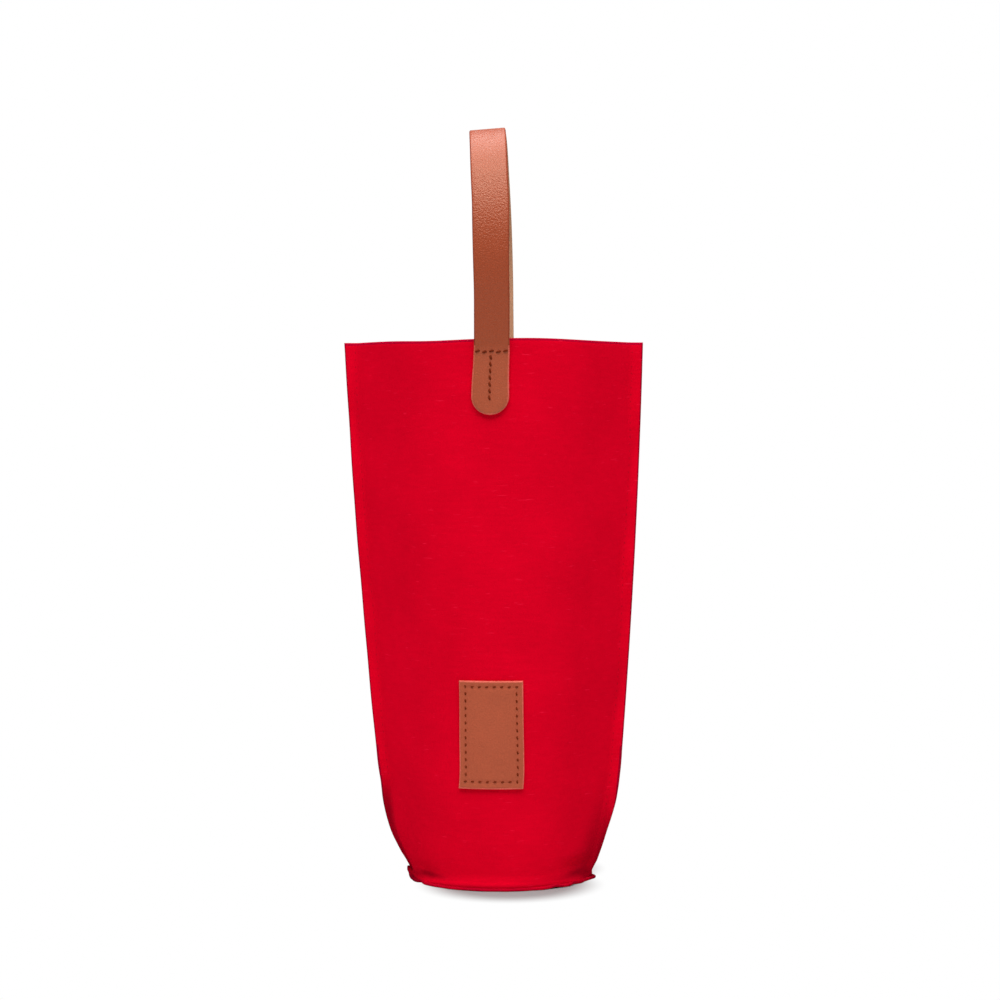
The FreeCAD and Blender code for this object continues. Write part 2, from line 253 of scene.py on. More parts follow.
class Pouch:
    """Where the outer face of a felt panel lies, by girth from its middle line and by height."""

    DEEPEST_TUCK = 1.1  # the wall is followed a little below its foot
    STEP = 0.0004  # to every side where the facing is worked out
    # A side fold is the average of some places of a crisp one, and its allowance bends out over a reach.
    FOLD_PLACES, BEND_REACH = 9, 0.002
    # The foot of the left fold is crisper, and its seam stands out.
    FOOT_FADE, FOOT_CRISPNESS = (0.016, 0.030), 0.7
    BULGE_RISE, BULGE_REACH = (0.002, 0.022), (-0.014, 0.012)
    TURN_FADE, TWIST_FADE = (0.020, 0.030), (0.012, 0.045)
    # Waves of the slack wall: size, length up, length round and start. The rear panel's are shifted.
    WAVES = ((0.00030, 0.118, 0.190, 0.6), (0.00022, 0.071, -0.104, 2.2), (0.00010, 0.039, 0.057, 4.0))
    REAR_SHIFT, WAVE_RISE = 2.3, (0.004, 0.030)
    # Dents over the base corners: girth, height, reach round, reach up and depth.
    DENTS = ((0.050, 0.0078, 0.011, 0.0042, 0.0026), (0.047, 0.0240, 0.011, 0.0160, 0.0015),
             (-0.034, 0.0055, 0.008, 0.0028, 0.0012))
    # The ridge beside the left seam: distance from the fold and reach beyond it.
    RIDGE_INSET, RIDGE_REACH = 0.0035, 0.014
    RIDGE_RISE, RIDGE_FADE = (0.002, 0.009), (0.020, 0.018)
    # Sway of the allowances: size, length up, start and what the side adds to it.
    SWAYS = ((0.0007, 0.094, 0.5, 1), (0.0004, 0.037, 1.2, -2))
    SWAY_RISE = (0.010, 0.040)
    # Unevenness of the rim: size, girth and reach. It grows over the upper part of the height.
    RIM_RISES = ((0.0005, 0.024, 0.020), (-0.0007, -0.028, 0.020))
    UPPER_PART = (0.55, 0.45)

    def __init__(self, felt, rear=False):
        self.felt = felt
        self.rear = rear
        self.out = 1.0 if rear else -1.0

    def tuck(self, z):
        """How far a height lies below the hip, 1 at the foot of the wall."""
        felt = self.felt
        return np.clip((felt.hip_height - z) / (felt.hip_height - felt.thickness), 0.0, self.DEEPEST_TUCK)

    def seam(self, z):
        """Half the width between the side seams."""
        felt = self.felt
        rise = felt.rim_height - felt.hip_height
        flare = felt.mouth_width - felt.hip_width
        taper = (z - felt.hip_height) / rise
        above = np.clip(taper, 0.0, 1.0)
        foot = felt.hip_width - flare * (felt.hip_height - felt.thickness) / rise
        bow = 4 * felt.side_bow * above * (1 - above)
        return (felt.hip_width + flare * taper - (foot - felt.foot_width) * self.tuck(z) ** 2) / 2 + bow

    def section(self, z):
        """The panel's section at a height."""
        felt = self.felt
        half = self.seam(z)
        flank = felt.flank - (felt.flank - felt.foot_flank) * self.tuck(z) ** 2
        radius = (half**2 + felt.half_depth**2 - flank**2) / (2 * felt.half_depth)
        centre = radius - felt.half_depth
        slope = np.arctan2(radius, flank) - np.arctan2(centre, half)
        radius = radius + felt.thickness
        fold = half + felt.thickness * np.tan(slope / 2)
        end = radius * np.sin(slope), radius * np.cos(slope) - centre
        arc, run = radius * slope, np.hypot(fold - end[0], end[1] - felt.thickness)
        return Section(radius, centre, end, fold, arc, run, arc + run, half + felt.side_allowance - fold)

    def girth(self, across, z):
        """Girth of a thread line of the cut: across is 1 at the fold and 2 at the cut edge."""
        cut = self.section(z)
        side = np.abs(across)
        return np.copysign(np.minimum(side, 1) * cut.wall + np.maximum(side - 1, 0) * cut.edge, across)

    def crisp(self, girth, z):
        """The wall with a crisp fold, as half-width, depth and the angle that it faces."""
        cut = self.section(z)
        side = np.abs(girth)
        bend = np.minimum(side, cut.arc) / cut.radius
        along = np.clip(side - cut.arc, 0, cut.run) / cut.run
        x = cut.radius * np.sin(bend) + along * (cut.fold - cut.end[0]) + np.maximum(side - cut.wall, 0)
        depth = cut.radius * np.cos(bend) - cut.centre + along * (self.felt.thickness - cut.end[1])
        return np.copysign(x, girth), depth, np.copysign(bend, girth)

    def slack(self, girth, z):
        """How far the felt stands off its drawn shape: soft waves, dents and the ridge."""
        shift = self.REAR_SHIFT if self.rear else 0.0
        wave = 0
        for size, tall, wide, start in self.WAVES:
            phase = start + math.copysign(shift, wide)
            wave = wave + size * np.sin(2 * math.pi * (z / tall + girth / wide) + phase)
        wave = wave * ease(z, *self.WAVE_RISE)
        for middle, height, wide, tall, deep in self.DENTS:
            middle = -middle if self.rear else middle
            wave = wave - deep * bell(girth, middle, wide) * bell(z, height, tall)
        return wave if self.rear else wave + self.ridge(girth, z)

    def ridge(self, girth, z):
        """The sharp ridge of the front panel beside the foot of the left seam."""
        inside = girth + self.section(z).wall - self.RIDGE_INSET
        tent = 1 - np.where(inside > 0, inside / self.RIDGE_REACH, -inside / self.RIDGE_INSET)
        fade = ease(z, *self.RIDGE_RISE) * (1 - ease(z, *self.RIDGE_FADE))
        return self.felt.ridge * np.clip(tent, 0, 1) * fade

    def wall(self, girth, z, foot, brim):
        """Width and depth of the wall with soft folds and slack."""
        soft = self.felt.fold_softness * (1 - self.FOOT_CRISPNESS * foot)
        spots = [self.crisp(girth + offset * soft, z) for offset in np.linspace(-1, 1, self.FOLD_PLACES)]
        x, depth, turn = (np.mean([spot[part] for spot in spots], axis=0) for part in range(3))
        stand = self.slack(girth, z) * (1 - brim)
        return x + stand * np.sin(turn), self.out * (depth + stand * np.cos(turn))

    def place(self, girth, z):
        """The point of the outer face, with its allowances folded back and the whole leaning."""
        felt = self.felt
        girth, z = matched(girth, z)
        left = girth < 0
        foot = np.where(left, 1 - ease(z, *self.FOOT_FADE), 0)
        beyond = np.abs(girth) - self.section(z).wall
        bend = self.BEND_REACH * (1 - foot / 2)
        brim = ease(beyond, -bend, 2 * bend)
        x, y = self.wall(girth, z, foot, brim)
        half = self.seam(z)
        turn = np.where(left, felt.left_turn, felt.right_turn) * (1 - ease(z, *self.TURN_FADE)) * brim
        bulge = felt.bulge * foot * ease(z, *self.BULGE_RISE) * ease(beyond, *self.BULGE_REACH)
        reach = (np.abs(x) - half) * (1 + felt.spare * foot * brim)
        x = np.copysign(half + bulge + reach * np.cos(turn) - y * np.sin(turn), x)
        y = reach * np.sin(turn) + y * np.cos(turn)
        sway = sum(size * np.sin(2 * math.pi * z / tall + start + more * np.sign(x))
                   for size, tall, start, more in self.SWAYS)
        y = y + sway * brim * ease(z, *self.SWAY_RISE)
        rise = sum(size * bell(girth, middle, wide) for size, middle, wide in self.RIM_RISES)
        rise = rise * ease(z / felt.rim_height, *self.UPPER_PART)
        twist = -felt.twist * (1 - ease(z, *self.TWIST_FADE))
        x, y = x * np.cos(twist) - y * np.sin(twist), x * np.sin(twist) + y * np.cos(twist)
        return np.stack([x + felt.lean * (z - felt.plumb), y, z + rise], axis=-1)

    def normal(self, girth, z):
        """The outward direction of the outer face."""
        return facing(self.place, girth, z, self.STEP) * -self.out

    def on(self, girth, z, height):
        """A point that lies a height outside the felt."""
        girth, z = matched(girth, z)
        return self.place(girth, z) + self.normal(girth, z) * np.asarray(height)[..., None]


class StrapLine:
    """The strap's outer face, by distance from its front end and by place across it."""

    STEP = 0.0003  # to every side where the facing is worked out
    # Sideways sway of the loop: part of the strap's length and how far it lies to the right there.
    SWAY = ((0.0, 0.00025), (0.05, 0.0007), (0.09, 0.0015), (0.115, 0.0017), (0.17, 0.0021), (0.30, 0.0021),
            (0.40, 0.0005), (0.50, -0.0015), (0.62, -0.0016), (0.80, -0.0005), (1.0, -0.0004))
    # Places along half the strap, and how many to either side soften the sway.
    PLACES, SOFTENING = 1600, 70
    # Width: where a tab narrows, what the loop gains and where, and the bluntness of a tab's round end.
    NARROWING, GAIN, WIDENING = (0.006, 0.022), 0.0008, (0.055, 0.045)
    BLUNTNESS = 0.07
    # Slope across the top of the loop, and where it fades in parts of the length from the middle.
    ROLL, ROLL_FADE = 0.075, (0.09375, 0.15625)

    def __init__(self, leather, felt):
        self.leather, self.felt = leather, felt
        leg, shoulder = leather.leg_lean, leather.shoulder_lean
        self.tab = leather.tab_top - leather.tab_end
        bend = leather.flex / leg
        start_y = felt.half_depth + felt.thickness + leather.seat_gap + leather.strap_thickness
        foot_y = start_y + bend * (1 - math.cos(leg)) + leather.leg * math.sin(leg)
        foot_z = leather.tab_top + bend * math.sin(leg) + leather.leg * math.cos(leg)
        sums = np.array([[math.cos(leg) - math.cos(shoulder), math.cos(shoulder)],
                         [math.sin(leg) + math.sin(shoulder), 1 - math.sin(shoulder)]])
        side, top = np.linalg.solve(sums, [foot_y, leather.crown - foot_z])
        arcs = [side * (leg + shoulder), top * (math.pi / 2 - shoulder)]
        ends = np.cumsum([0, self.tab, leather.flex, leather.leg, *arcs])
        self.half = ends[-1]
        self.length = 2 * self.half
        steps = np.linspace(0, self.half, self.PLACES)
        lean = np.interp(steps, ends, [0, 0, leg, leg, -shoulder, -math.pi / 2])
        middle = (lean[1:] + lean[:-1]) / 2
        gap = steps[1]
        y = -start_y - np.concatenate([[0], np.cumsum(np.sin(middle) * gap)])
        z = leather.tab_end + np.concatenate([[0], np.cumsum(np.cos(middle) * gap)])
        self.steps = np.concatenate([steps, self.length - steps[-2::-1]])
        self.y = np.concatenate([y, -y[-2::-1]])
        self.z = np.concatenate([z, z[-2::-1]])
        sway = np.interp(self.steps / self.length, *zip(*self.SWAY))
        kernel = np.hanning(2 * self.SOFTENING + 1)
        padded = np.pad(sway, self.SOFTENING, mode="edge")
        self.sway = np.convolve(padded, kernel / kernel.sum(), mode="valid")

    def from_end(self, distance):
        """Distance from the nearer end."""
        return np.minimum(distance, self.length - distance)

    def half_width(self, distance):
        """Half the strap's width: the tabs are a little wider and end round."""
        leather = self.leather
        near = self.from_end(distance)
        wide = leather.tab_width + (leather.strap_width - leather.tab_width) * ease(near, *self.NARROWING)
        wide = wide + self.GAIN * ease(near, *self.WIDENING)
        radius = leather.tab_width / 2
        back = np.clip(radius - near, 0, radius)
        round_end = np.sqrt(np.maximum(radius**2 - back**2, (self.BLUNTNESS * radius) ** 2))
        return np.minimum(wide / 2, round_end)

    def place(self, across, distance):
        """The outer face's point, across in metres from the strap's middle line."""
        felt, leather = self.felt, self.leather
        across, distance = matched(across, distance)
        y, z, sway = (np.interp(distance, self.steps, course) for course in (self.y, self.z, self.sway))
        girth = across + sway
        roll = self.ROLL * (1 - ease(np.abs(distance / self.length - 0.5), *self.ROLL_FADE))
        free = np.stack([girth + felt.lean * (z - felt.plumb), y, z + across * roll], axis=-1)
        loose = ease(self.from_end(distance), self.tab, leather.flex)[..., None]
        height = leather.seat_gap + leather.strap_thickness
        low = np.minimum(z, felt.rim_height)
        front, rear = (Pouch(felt, behind).on(girth, low, height) for behind in (False, True))
        sewn = np.where((distance > self.half)[..., None], rear, front)
        sewn[..., 2] = z
        return free * loose + sewn * (1 - loose)

    def normal(self, across, distance):
        """The outward direction of the strap's face."""
        return facing(self.place, across, distance, self.STEP)


# Modelling

SHARP = math.radians(60)  # faces that meet at a sharper angle keep their edge
MERGE_DISTANCE = 1e-6
EDGE_ROWS = np.array([0, 0.13, 0.5])  # rows over a rounded cut edge, in parts of its rounding
RIM_MARGIN = 1.001  # a face counts as cut edge up to this part of the rounding
STITCH_SIDES = 6
STITCH_CLIMBS = (0.341, 0.132, -0.132, -0.341)  # rise over each quarter of a stitch, in thread widths
STITCH_PINCH, STITCH_SINK = 0.45, 0.30  # narrowing of its ends, and its depth in thread widths


def put_down():
    """Leaves edit mode and lets go of everything."""
    if bpy.context.object and bpy.context.object.mode != "OBJECT":
        bpy.ops.object.mode_set(mode="OBJECT")
    bpy.ops.object.select_all(action="DESELECT")


def take(piece):
    """Selects one piece alone."""
    put_down()
    piece.select_set(True)
    bpy.context.view_layer.objects.active = piece


@contextmanager
def editing(action="SELECT"):
    """Edit mode on the active piece, with all or nothing of it selected."""
    bpy.ops.object.mode_set(mode="EDIT")
    bpy.ops.mesh.select_all(action=action)
    yield
    bpy.ops.object.mode_set(mode="OBJECT")


def named(name):
    """Names what was just added."""
    piece = bpy.context.object
    piece.name = piece.data.name = name
    return piece


def apply_place():
    """Moves the place and turn of what was just added into its mesh."""
    bpy.ops.object.transform_apply(location=True, rotation=True, scale=True)


def spaced(count, span, rounding):
    """Places from 0 to a span, close together at both ends where the edge is rounded."""
    edge = rounding * EDGE_ROWS
    return np.concatenate([edge, np.linspace(rounding, span - rounding, count), span - edge[::-1]])


def points_of(piece):
    """The points of a piece as rows of an array."""
    flat = np.empty(len(piece.data.vertices) * 3)
    piece.data.vertices.foreach_get("co", flat)
    return flat.reshape(-1, 3)


def cut_flat(name, columns, rows):
    """A flat cut of felt or leather, and the column and row number of each of its points."""
    put_down()
    bpy.ops.mesh.primitive_grid_add(x_subdivisions=columns, y_subdivisions=rows, size=2)
    piece = named(name)
    part = (points_of(piece) + 1) / 2
    return piece, np.rint(part[:, 0] * columns).astype(int), np.rint(part[:, 1] * rows).astype(int)


def form(piece, points):
    """Moves the points of a cut."""
    piece.data.vertices.foreach_set("co", points.astype(np.float32).ravel())
    piece.data.update()


def turn_over(piece):
    """Turns a cut's face to the other side."""
    take(piece)
    with editing():
        bpy.ops.mesh.flip_normals()


def mark_painted_shade(piece, wear):
    """Notes how much shade is painted on each point of a cut."""
    layer = piece.data.attributes.new("worn", "FLOAT", "POINT")
    layer.data.foreach_set("value", np.asarray(wear, np.float32))


def pad(piece, points, inset, outward, thickness, rounding, back=0, edge=1):
    """Forms a cut, gives it its thickness and rounds it along its cut edge.

    Inset is the distance of each point to the nearest cut edge. Back and edge are finish numbers.
    """
    form(piece, points)
    front = sum((face.normal * face.area for face in piece.data.polygons), Vector())
    if front.dot(Vector(outward)) < 0:
        turn_over(piece)
    normals = np.empty(points.size)
    piece.data.vertices.foreach_get("normal", normals)
    normals = normals.reshape(-1, 3)
    slope = np.clip(1 - inset / rounding, 0, 1)
    sunk = (thickness / 2 * (1 - np.sqrt(1 - slope**2)))[:, None]
    corners = np.empty(len(piece.data.loops), int)
    piece.data.loops.foreach_get("vertex_index", corners)
    rim = inset[corners.reshape(-1, 4)].max(axis=1) < rounding * RIM_MARGIN
    take(piece)
    bpy.ops.object.duplicate()
    under = bpy.context.object
    for layer, depth, inner in ((piece, sunk, 0), (under, thickness - sunk, back)):
        form(layer, points - normals * depth)
        layer.data.polygons.foreach_set("material_index", np.where(rim, edge, inner).astype(np.int32))
    turn_over(under)
    take(piece)
    under.select_set(True)
    bpy.ops.object.join()
    with editing():
        bpy.ops.mesh.remove_doubles(threshold=MERGE_DISTANCE)
    bpy.ops.object.shade_smooth_by_angle(angle=SHARP)


def stitch(thread, span, twist=0.0, bulk=1.0):
    """One stitch along X, arched over the surface with its ends pulled down into it."""
    wide = bulk * thread.width
    put_down()
    bpy.ops.mesh.primitive_circle_add(vertices=STITCH_SIDES, radius=wide / 2, fill_type="NGON",
                                      rotation=(0, math.pi / 2, 0), location=(-span / 2, 0, 0))
    one = bpy.context.object
    apply_place()
    with editing():
        for climb in STITCH_CLIMBS:
            move = (span / len(STITCH_CLIMBS), twist * wide, climb * wide)
            bpy.ops.mesh.extrude_region_move(TRANSFORM_OT_translate={"value": move})
        bpy.ops.mesh.select_all(action="SELECT")
        bpy.ops.mesh.normals_make_consistent(inside=False)
    for vertex in one.data.vertices:
        reach = abs(vertex.co.x) / (span / 2)
        vertex.co.y *= 1 - STITCH_PINCH * reach**3
        vertex.co.z -= STITCH_SINK * wide
    bpy.ops.object.shade_smooth()
    return one


def sew(name, one, places):
    """Copies a stitch to every (point, along, outward) and joins the row into one piece."""
    row = []
    for point, along, outward in places:
        out = Vector(outward).normalized()
        forward = Vector(along)
        forward = (forward - out * forward.dot(out)).normalized()
        turn = Matrix((forward, out.cross(forward), out)).transposed().to_4x4()
        copy = one.copy()
        copy.data = one.data.copy()
        copy.data.transform(Matrix.Translation(Vector(point)) @ turn)
        bpy.context.scene.collection.objects.link(copy)
        row.append(copy)
    bpy.data.objects.remove(one)
    put_down()
    for copy in row:
        copy.select_set(True)
    bpy.context.view_layer.objects.active = row[0]
    bpy.ops.object.join()
    return named(name)


def dress(piece, *finishes):
    """Gives a piece its finishes, in the order of their numbers."""
    for finish in finishes:
        piece.data.materials.append(finish)


def hand_over(piece, slot, *nodes, body="carrier"):
    """Puts a finished piece in place of its CAD nodes."""
    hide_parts(*nodes)
    if body:
        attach(piece, body)


# Finishes


def add_node(tree, kind, sockets=None, **settings):
    """A shader node with its settings, and a value or a link on each named socket."""
    node = tree.nodes.new(kind)
    for setting, value in settings.items():
        setattr(node, setting, value)
    for socket, value in (sockets or {}).items():
        if isinstance(value, bpy.types.NodeSocket):
            tree.links.new(value, node.inputs[socket])
        else:
            node.inputs[socket].default_value = value
    return node


def add_place(tree, shift=(0, 0, 0), turn=(0, 0, 0), stretch=(1, 1, 1)):
    """The place on the object, shifted, turned and stretched."""
    sockets = {"Vector": add_node(tree, "ShaderNodeTexCoord").outputs["Object"],
               "Location": shift, "Rotation": turn, "Scale": stretch}
    return add_node(tree, "ShaderNodeMapping", sockets).outputs["Vector"]


def add_noise(tree, place, scale, detail, roughness=0.5, distortion=0.0, output="Fac"):
    """Cloudy noise."""
    sockets = {"Vector": place, "Scale": scale, "Detail": detail, "Roughness": roughness,
               "Distortion": distortion}
    return add_node(tree, "ShaderNodeTexNoise", sockets).outputs[output]


def add_range(tree, value, start, end, low=0.0, high=1.0, **settings):
    """A value that goes from low to high while another goes from start to end."""
    sockets = {"Value": value, "From Min": start, "From Max": end, "To Min": low, "To Max": high}
    return add_node(tree, "ShaderNodeMapRange", sockets, **settings).outputs["Result"]


def add_blend(tree, part, first, second):
    """Two values mixed by a part of the second."""
    return add_node(tree, "ShaderNodeMix", {0: part, 2: first, 3: second}).outputs[0]


def add_tint(tree, part, first, second, **settings):
    """Two colours mixed by a part of the second. The first can be a link."""
    first = first if isinstance(first, bpy.types.NodeSocket) else (*first, 1)
    sockets = {0: part, 6: first, 7: (*second, 1)}
    return add_node(tree, "ShaderNodeMix", sockets, data_type="RGBA", **settings).outputs[2]


def new_group(name, **inputs):
    """A shader node group that puts out a tone, a height and a glint, and what it is given."""
    tree = bpy.data.node_groups.new(name, "ShaderNodeTree")
    for socket, value in inputs.items():
        given = tree.interface.new_socket(socket, in_out="INPUT", socket_type="NodeSocketFloat")
        given.default_value = value
    for socket in ("Tone", "Height", "Glint"):
        tree.interface.new_socket(socket, in_out="OUTPUT", socket_type="NodeSocketFloat")
    return tree, add_node(tree, "NodeGroupInput").outputs


def fibre_group(name="Matted fibres"):
    """Matted fibres: short tangled ones, faint level streaks, a broad cloudy tone and lone wisps."""
    if name in bpy.data.node_groups:
        return bpy.data.node_groups[name]
    tree, given = new_group(name, Fineness=900.0, Streaks=0.35)
    place = add_node(tree, "ShaderNodeTexCoord").outputs["Object"]
    level = add_place(tree, stretch=(0.12, 0.35, 1.0))
    thin = add_place(tree, turn=(0.0, 0.05, 0.0), stretch=(0.11, 0.11, 1.0))
    tangle = add_noise(tree, place, given["Fineness"], detail=5.0, roughness=0.68, distortion=1.6)
    streak = add_noise(tree, level, scale=620.0, detail=3.0, roughness=0.6)
    cloud = add_noise(tree, place, scale=34.0, detail=3.0, roughness=0.55)
    wisp = add_noise(tree, thin, scale=1500.0, detail=1.0)
    height = add_blend(tree, given["Streaks"], tangle, streak)
    tone = add_range(tree, add_blend(tree, 0.35, height, cloud), start=0.38, end=0.62)
    glint = add_range(tree, wisp, start=0.70, end=0.80)
    add_node(tree, "NodeGroupOutput", {"Tone": tone, "Height": height, "Glint": glint})
    return tree


def grain_group(name="Leather grain"):
    """Leather grain: rounded pebbles between fine furrows, pores and a mottled tone."""
    if name in bpy.data.node_groups:
        return bpy.data.node_groups[name]
    tree, given = new_group(name, Pebbles=1300.0, Pores=0.25)
    place = add_node(tree, "ShaderNodeTexCoord").outputs["Object"]
    wander = add_noise(tree, place, scale=700.0, detail=2.0, output="Color")
    stray = add_node(tree, "ShaderNodeVectorMath", {0: wander, 1: (0.0007, 0.0007, 0.0007)},
                     operation="MULTIPLY").outputs["Vector"]
    bent = add_node(tree, "ShaderNodeVectorMath", {0: place, 1: stray}, operation="ADD").outputs["Vector"]
    pebble = add_node(tree, "ShaderNodeTexVoronoi", {"Vector": bent, "Scale": given["Pebbles"]},
                      feature="SMOOTH_F1").outputs["Distance"]
    dome = add_range(tree, pebble, start=0.0, end=0.75, low=1.0, high=0.0)
    pore = add_noise(tree, place, scale=2600.0, detail=2.0)
    mottle = add_noise(tree, place, scale=160.0, detail=4.0, roughness=0.6)
    height = add_blend(tree, given["Pores"], dome, pore)
    tone = add_blend(tree, 0.5, height, mottle)
    glint = add_range(tree, height, start=0.45, end=0.70)
    add_node(tree, "NodeGroupOutput", {"Tone": tone, "Height": height, "Glint": glint})
    return tree


def new_finish(name, low, high, group, values, bump, wisp=None, gloss=None, worn=None, **constants):
    """A material whose colour goes from low to high and whose bump follows one of the groups.

    Bump is a strength and a distance. Wisp is the colour of the glints, and gloss is the roughness without
    and with a glint. Painted shade is what is left of the colour, by channel, where shade is painted on a
    piece.
    """
    if name in bpy.data.materials:
        return bpy.data.materials[name]
    material = bpy.data.materials.new(name)
    material.use_nodes = True
    tree = material.node_tree
    shader = tree.nodes["Principled BSDF"].inputs
    for socket, value in constants.items():
        shader[socket.replace("_", " ")].default_value = value
    pattern = add_node(tree, "ShaderNodeGroup", values, node_tree=group).outputs
    tint = add_tint(tree, pattern["Tone"], low, high)
    if wisp is not None:
        tint = add_tint(tree, pattern["Glint"], tint, wisp)
    if gloss is not None:
        tree.links.new(add_range(tree, pattern["Glint"], 0.0, 1.0, *gloss), shader["Roughness"])
    # Painted shade: the colour is multiplied down where the piece is marked for painted shade.
    if worn is not None:
        marks = add_node(tree, "ShaderNodeAttribute", attribute_name="worn").outputs["Fac"]
        tint = add_tint(tree, marks, tint, worn, blend_type="MULTIPLY")
    strength, distance = bump
    relief = add_node(tree, "ShaderNodeBump", {"Strength": strength, "Distance": distance,
                                               "Height": pattern["Height"]})
    tree.links.new(tint, shader["Base Color"])
    tree.links.new(relief.outputs["Normal"], shader["Normal"])
    return material


def fibre_finish(name, low, high, fineness, streaks, bump, **finish):
    """A finish of matted fibres."""
    values = {"Fineness": fineness, "Streaks": streaks}
    return new_finish(name, low, high, fibre_group(), values, bump, **finish)


def grain_finish(name, low, high, pebbles, pores, bump, **finish):
    """A finish of grained leather."""
    values = {"Pebbles": pebbles, "Pores": pores}
    return new_finish(name, low, high, grain_group(), values, bump, **finish)


def darker(hue, part):
    """A part of a colour."""
    return [part * value for value in hue]


def felt_finish(edge=""):
    """Pressed felt, or the cut edge of the base or of a panel."""
    hues = bpy.context.scene.carrier_colours
    # The felt's finish takes painted shade where a piece is marked for it.
    fuzz = {"wisp": hues.felt_wisp, "worn": hues.felt_painted_shade, "Roughness": 0.95, "Specular_IOR_Level": 0.0,
            "Sheen_Weight": 0.10, "Sheen_Roughness": 0.5, "Sheen_Tint": (*hues.felt_fuzz, 1)}
    if not edge:
        return fibre_finish("pressed felt", hues.felt_shade, hues.felt, fineness=820.0, streaks=0.4,
                            bump=(0.28, 0.0006), **fuzz)
    low, high = {"base": (hues.felt_edge, hues.felt_shade), "panel": (hues.felt_rim, hues.felt_edge)}[edge]
    return fibre_finish(f"felt {edge} edge", low, high, fineness=1100.0, streaks=0.2,
                        bump=(0.45, 0.0006), **fuzz)


def felt_thread_finish():
    """Thread of the felt seams."""
    hue = bpy.context.scene.carrier_colours.felt_thread
    return fibre_finish("seam thread", darker(hue, 0.7), hue, fineness=2600.0, streaks=0.0,
                        bump=(0.4, 0.0003), Roughness=0.8, Specular_IOR_Level=0.05)


def leather_thread_finish():
    """Thread on the leather."""
    hue = bpy.context.scene.carrier_colours.leather_thread
    return fibre_finish("waxed thread", darker(hue, 0.6), hue, fineness=2600.0, streaks=0.0,
                        bump=(0.4, 0.0003), Roughness=0.8, Specular_IOR_Level=0.08)


def strap_finish():
    """Satin face of the strap."""
    hues = bpy.context.scene.carrier_colours
    # The strap's finish takes painted shade where the strap is marked for it.
    return grain_finish("satin leather", hues.leather_shade, hues.leather, pebbles=1450.0, pores=0.3,
                        bump=(0.5, 0.0004), gloss=(0.40, 0.27), worn=hues.strap_painted_shade,
                        Specular_IOR_Level=0.5, Specular_Tint=(*hues.strap_shine, 1))


def patch_finish():
    """Matte face of the patch."""
    hues = bpy.context.scene.carrier_colours
    return grain_finish("matte leather", hues.leather_shade, hues.patch, pebbles=1300.0, pores=0.4,
                        bump=(0.40, 0.0004), gloss=(0.66, 0.50), Specular_IOR_Level=0.25)


def leather_edge_finish(dyed=False):
    """Raw cut edge of patch and tabs, lightened with painted light bounced off the felt, or the dyed edge of
    the free strap.
    """
    hues = bpy.context.scene.carrier_colours
    name = "dyed leather edge" if dyed else "leather cut edge"
    low, high = (hues.leather_thread, hues.leather_shade) if dyed else (hues.leather, hues.leather_edge_and_bounce)
    return fibre_finish(name, low, high, fineness=1500.0, streaks=0.2, bump=(0.3, 0.0003),
                        Roughness=0.75, Specular_IOR_Level=0.2)


def leather_back_finish():
    """Raw back of the strap."""
    hue = bpy.context.scene.carrier_colours.leather_back
    return fibre_finish("raw leather", darker(hue, 0.8), hue, fineness=1400.0, streaks=0.1,
                        bump=(0.35, 0.0004), Roughness=0.9, Specular_IOR_Level=0.1)


# Operators


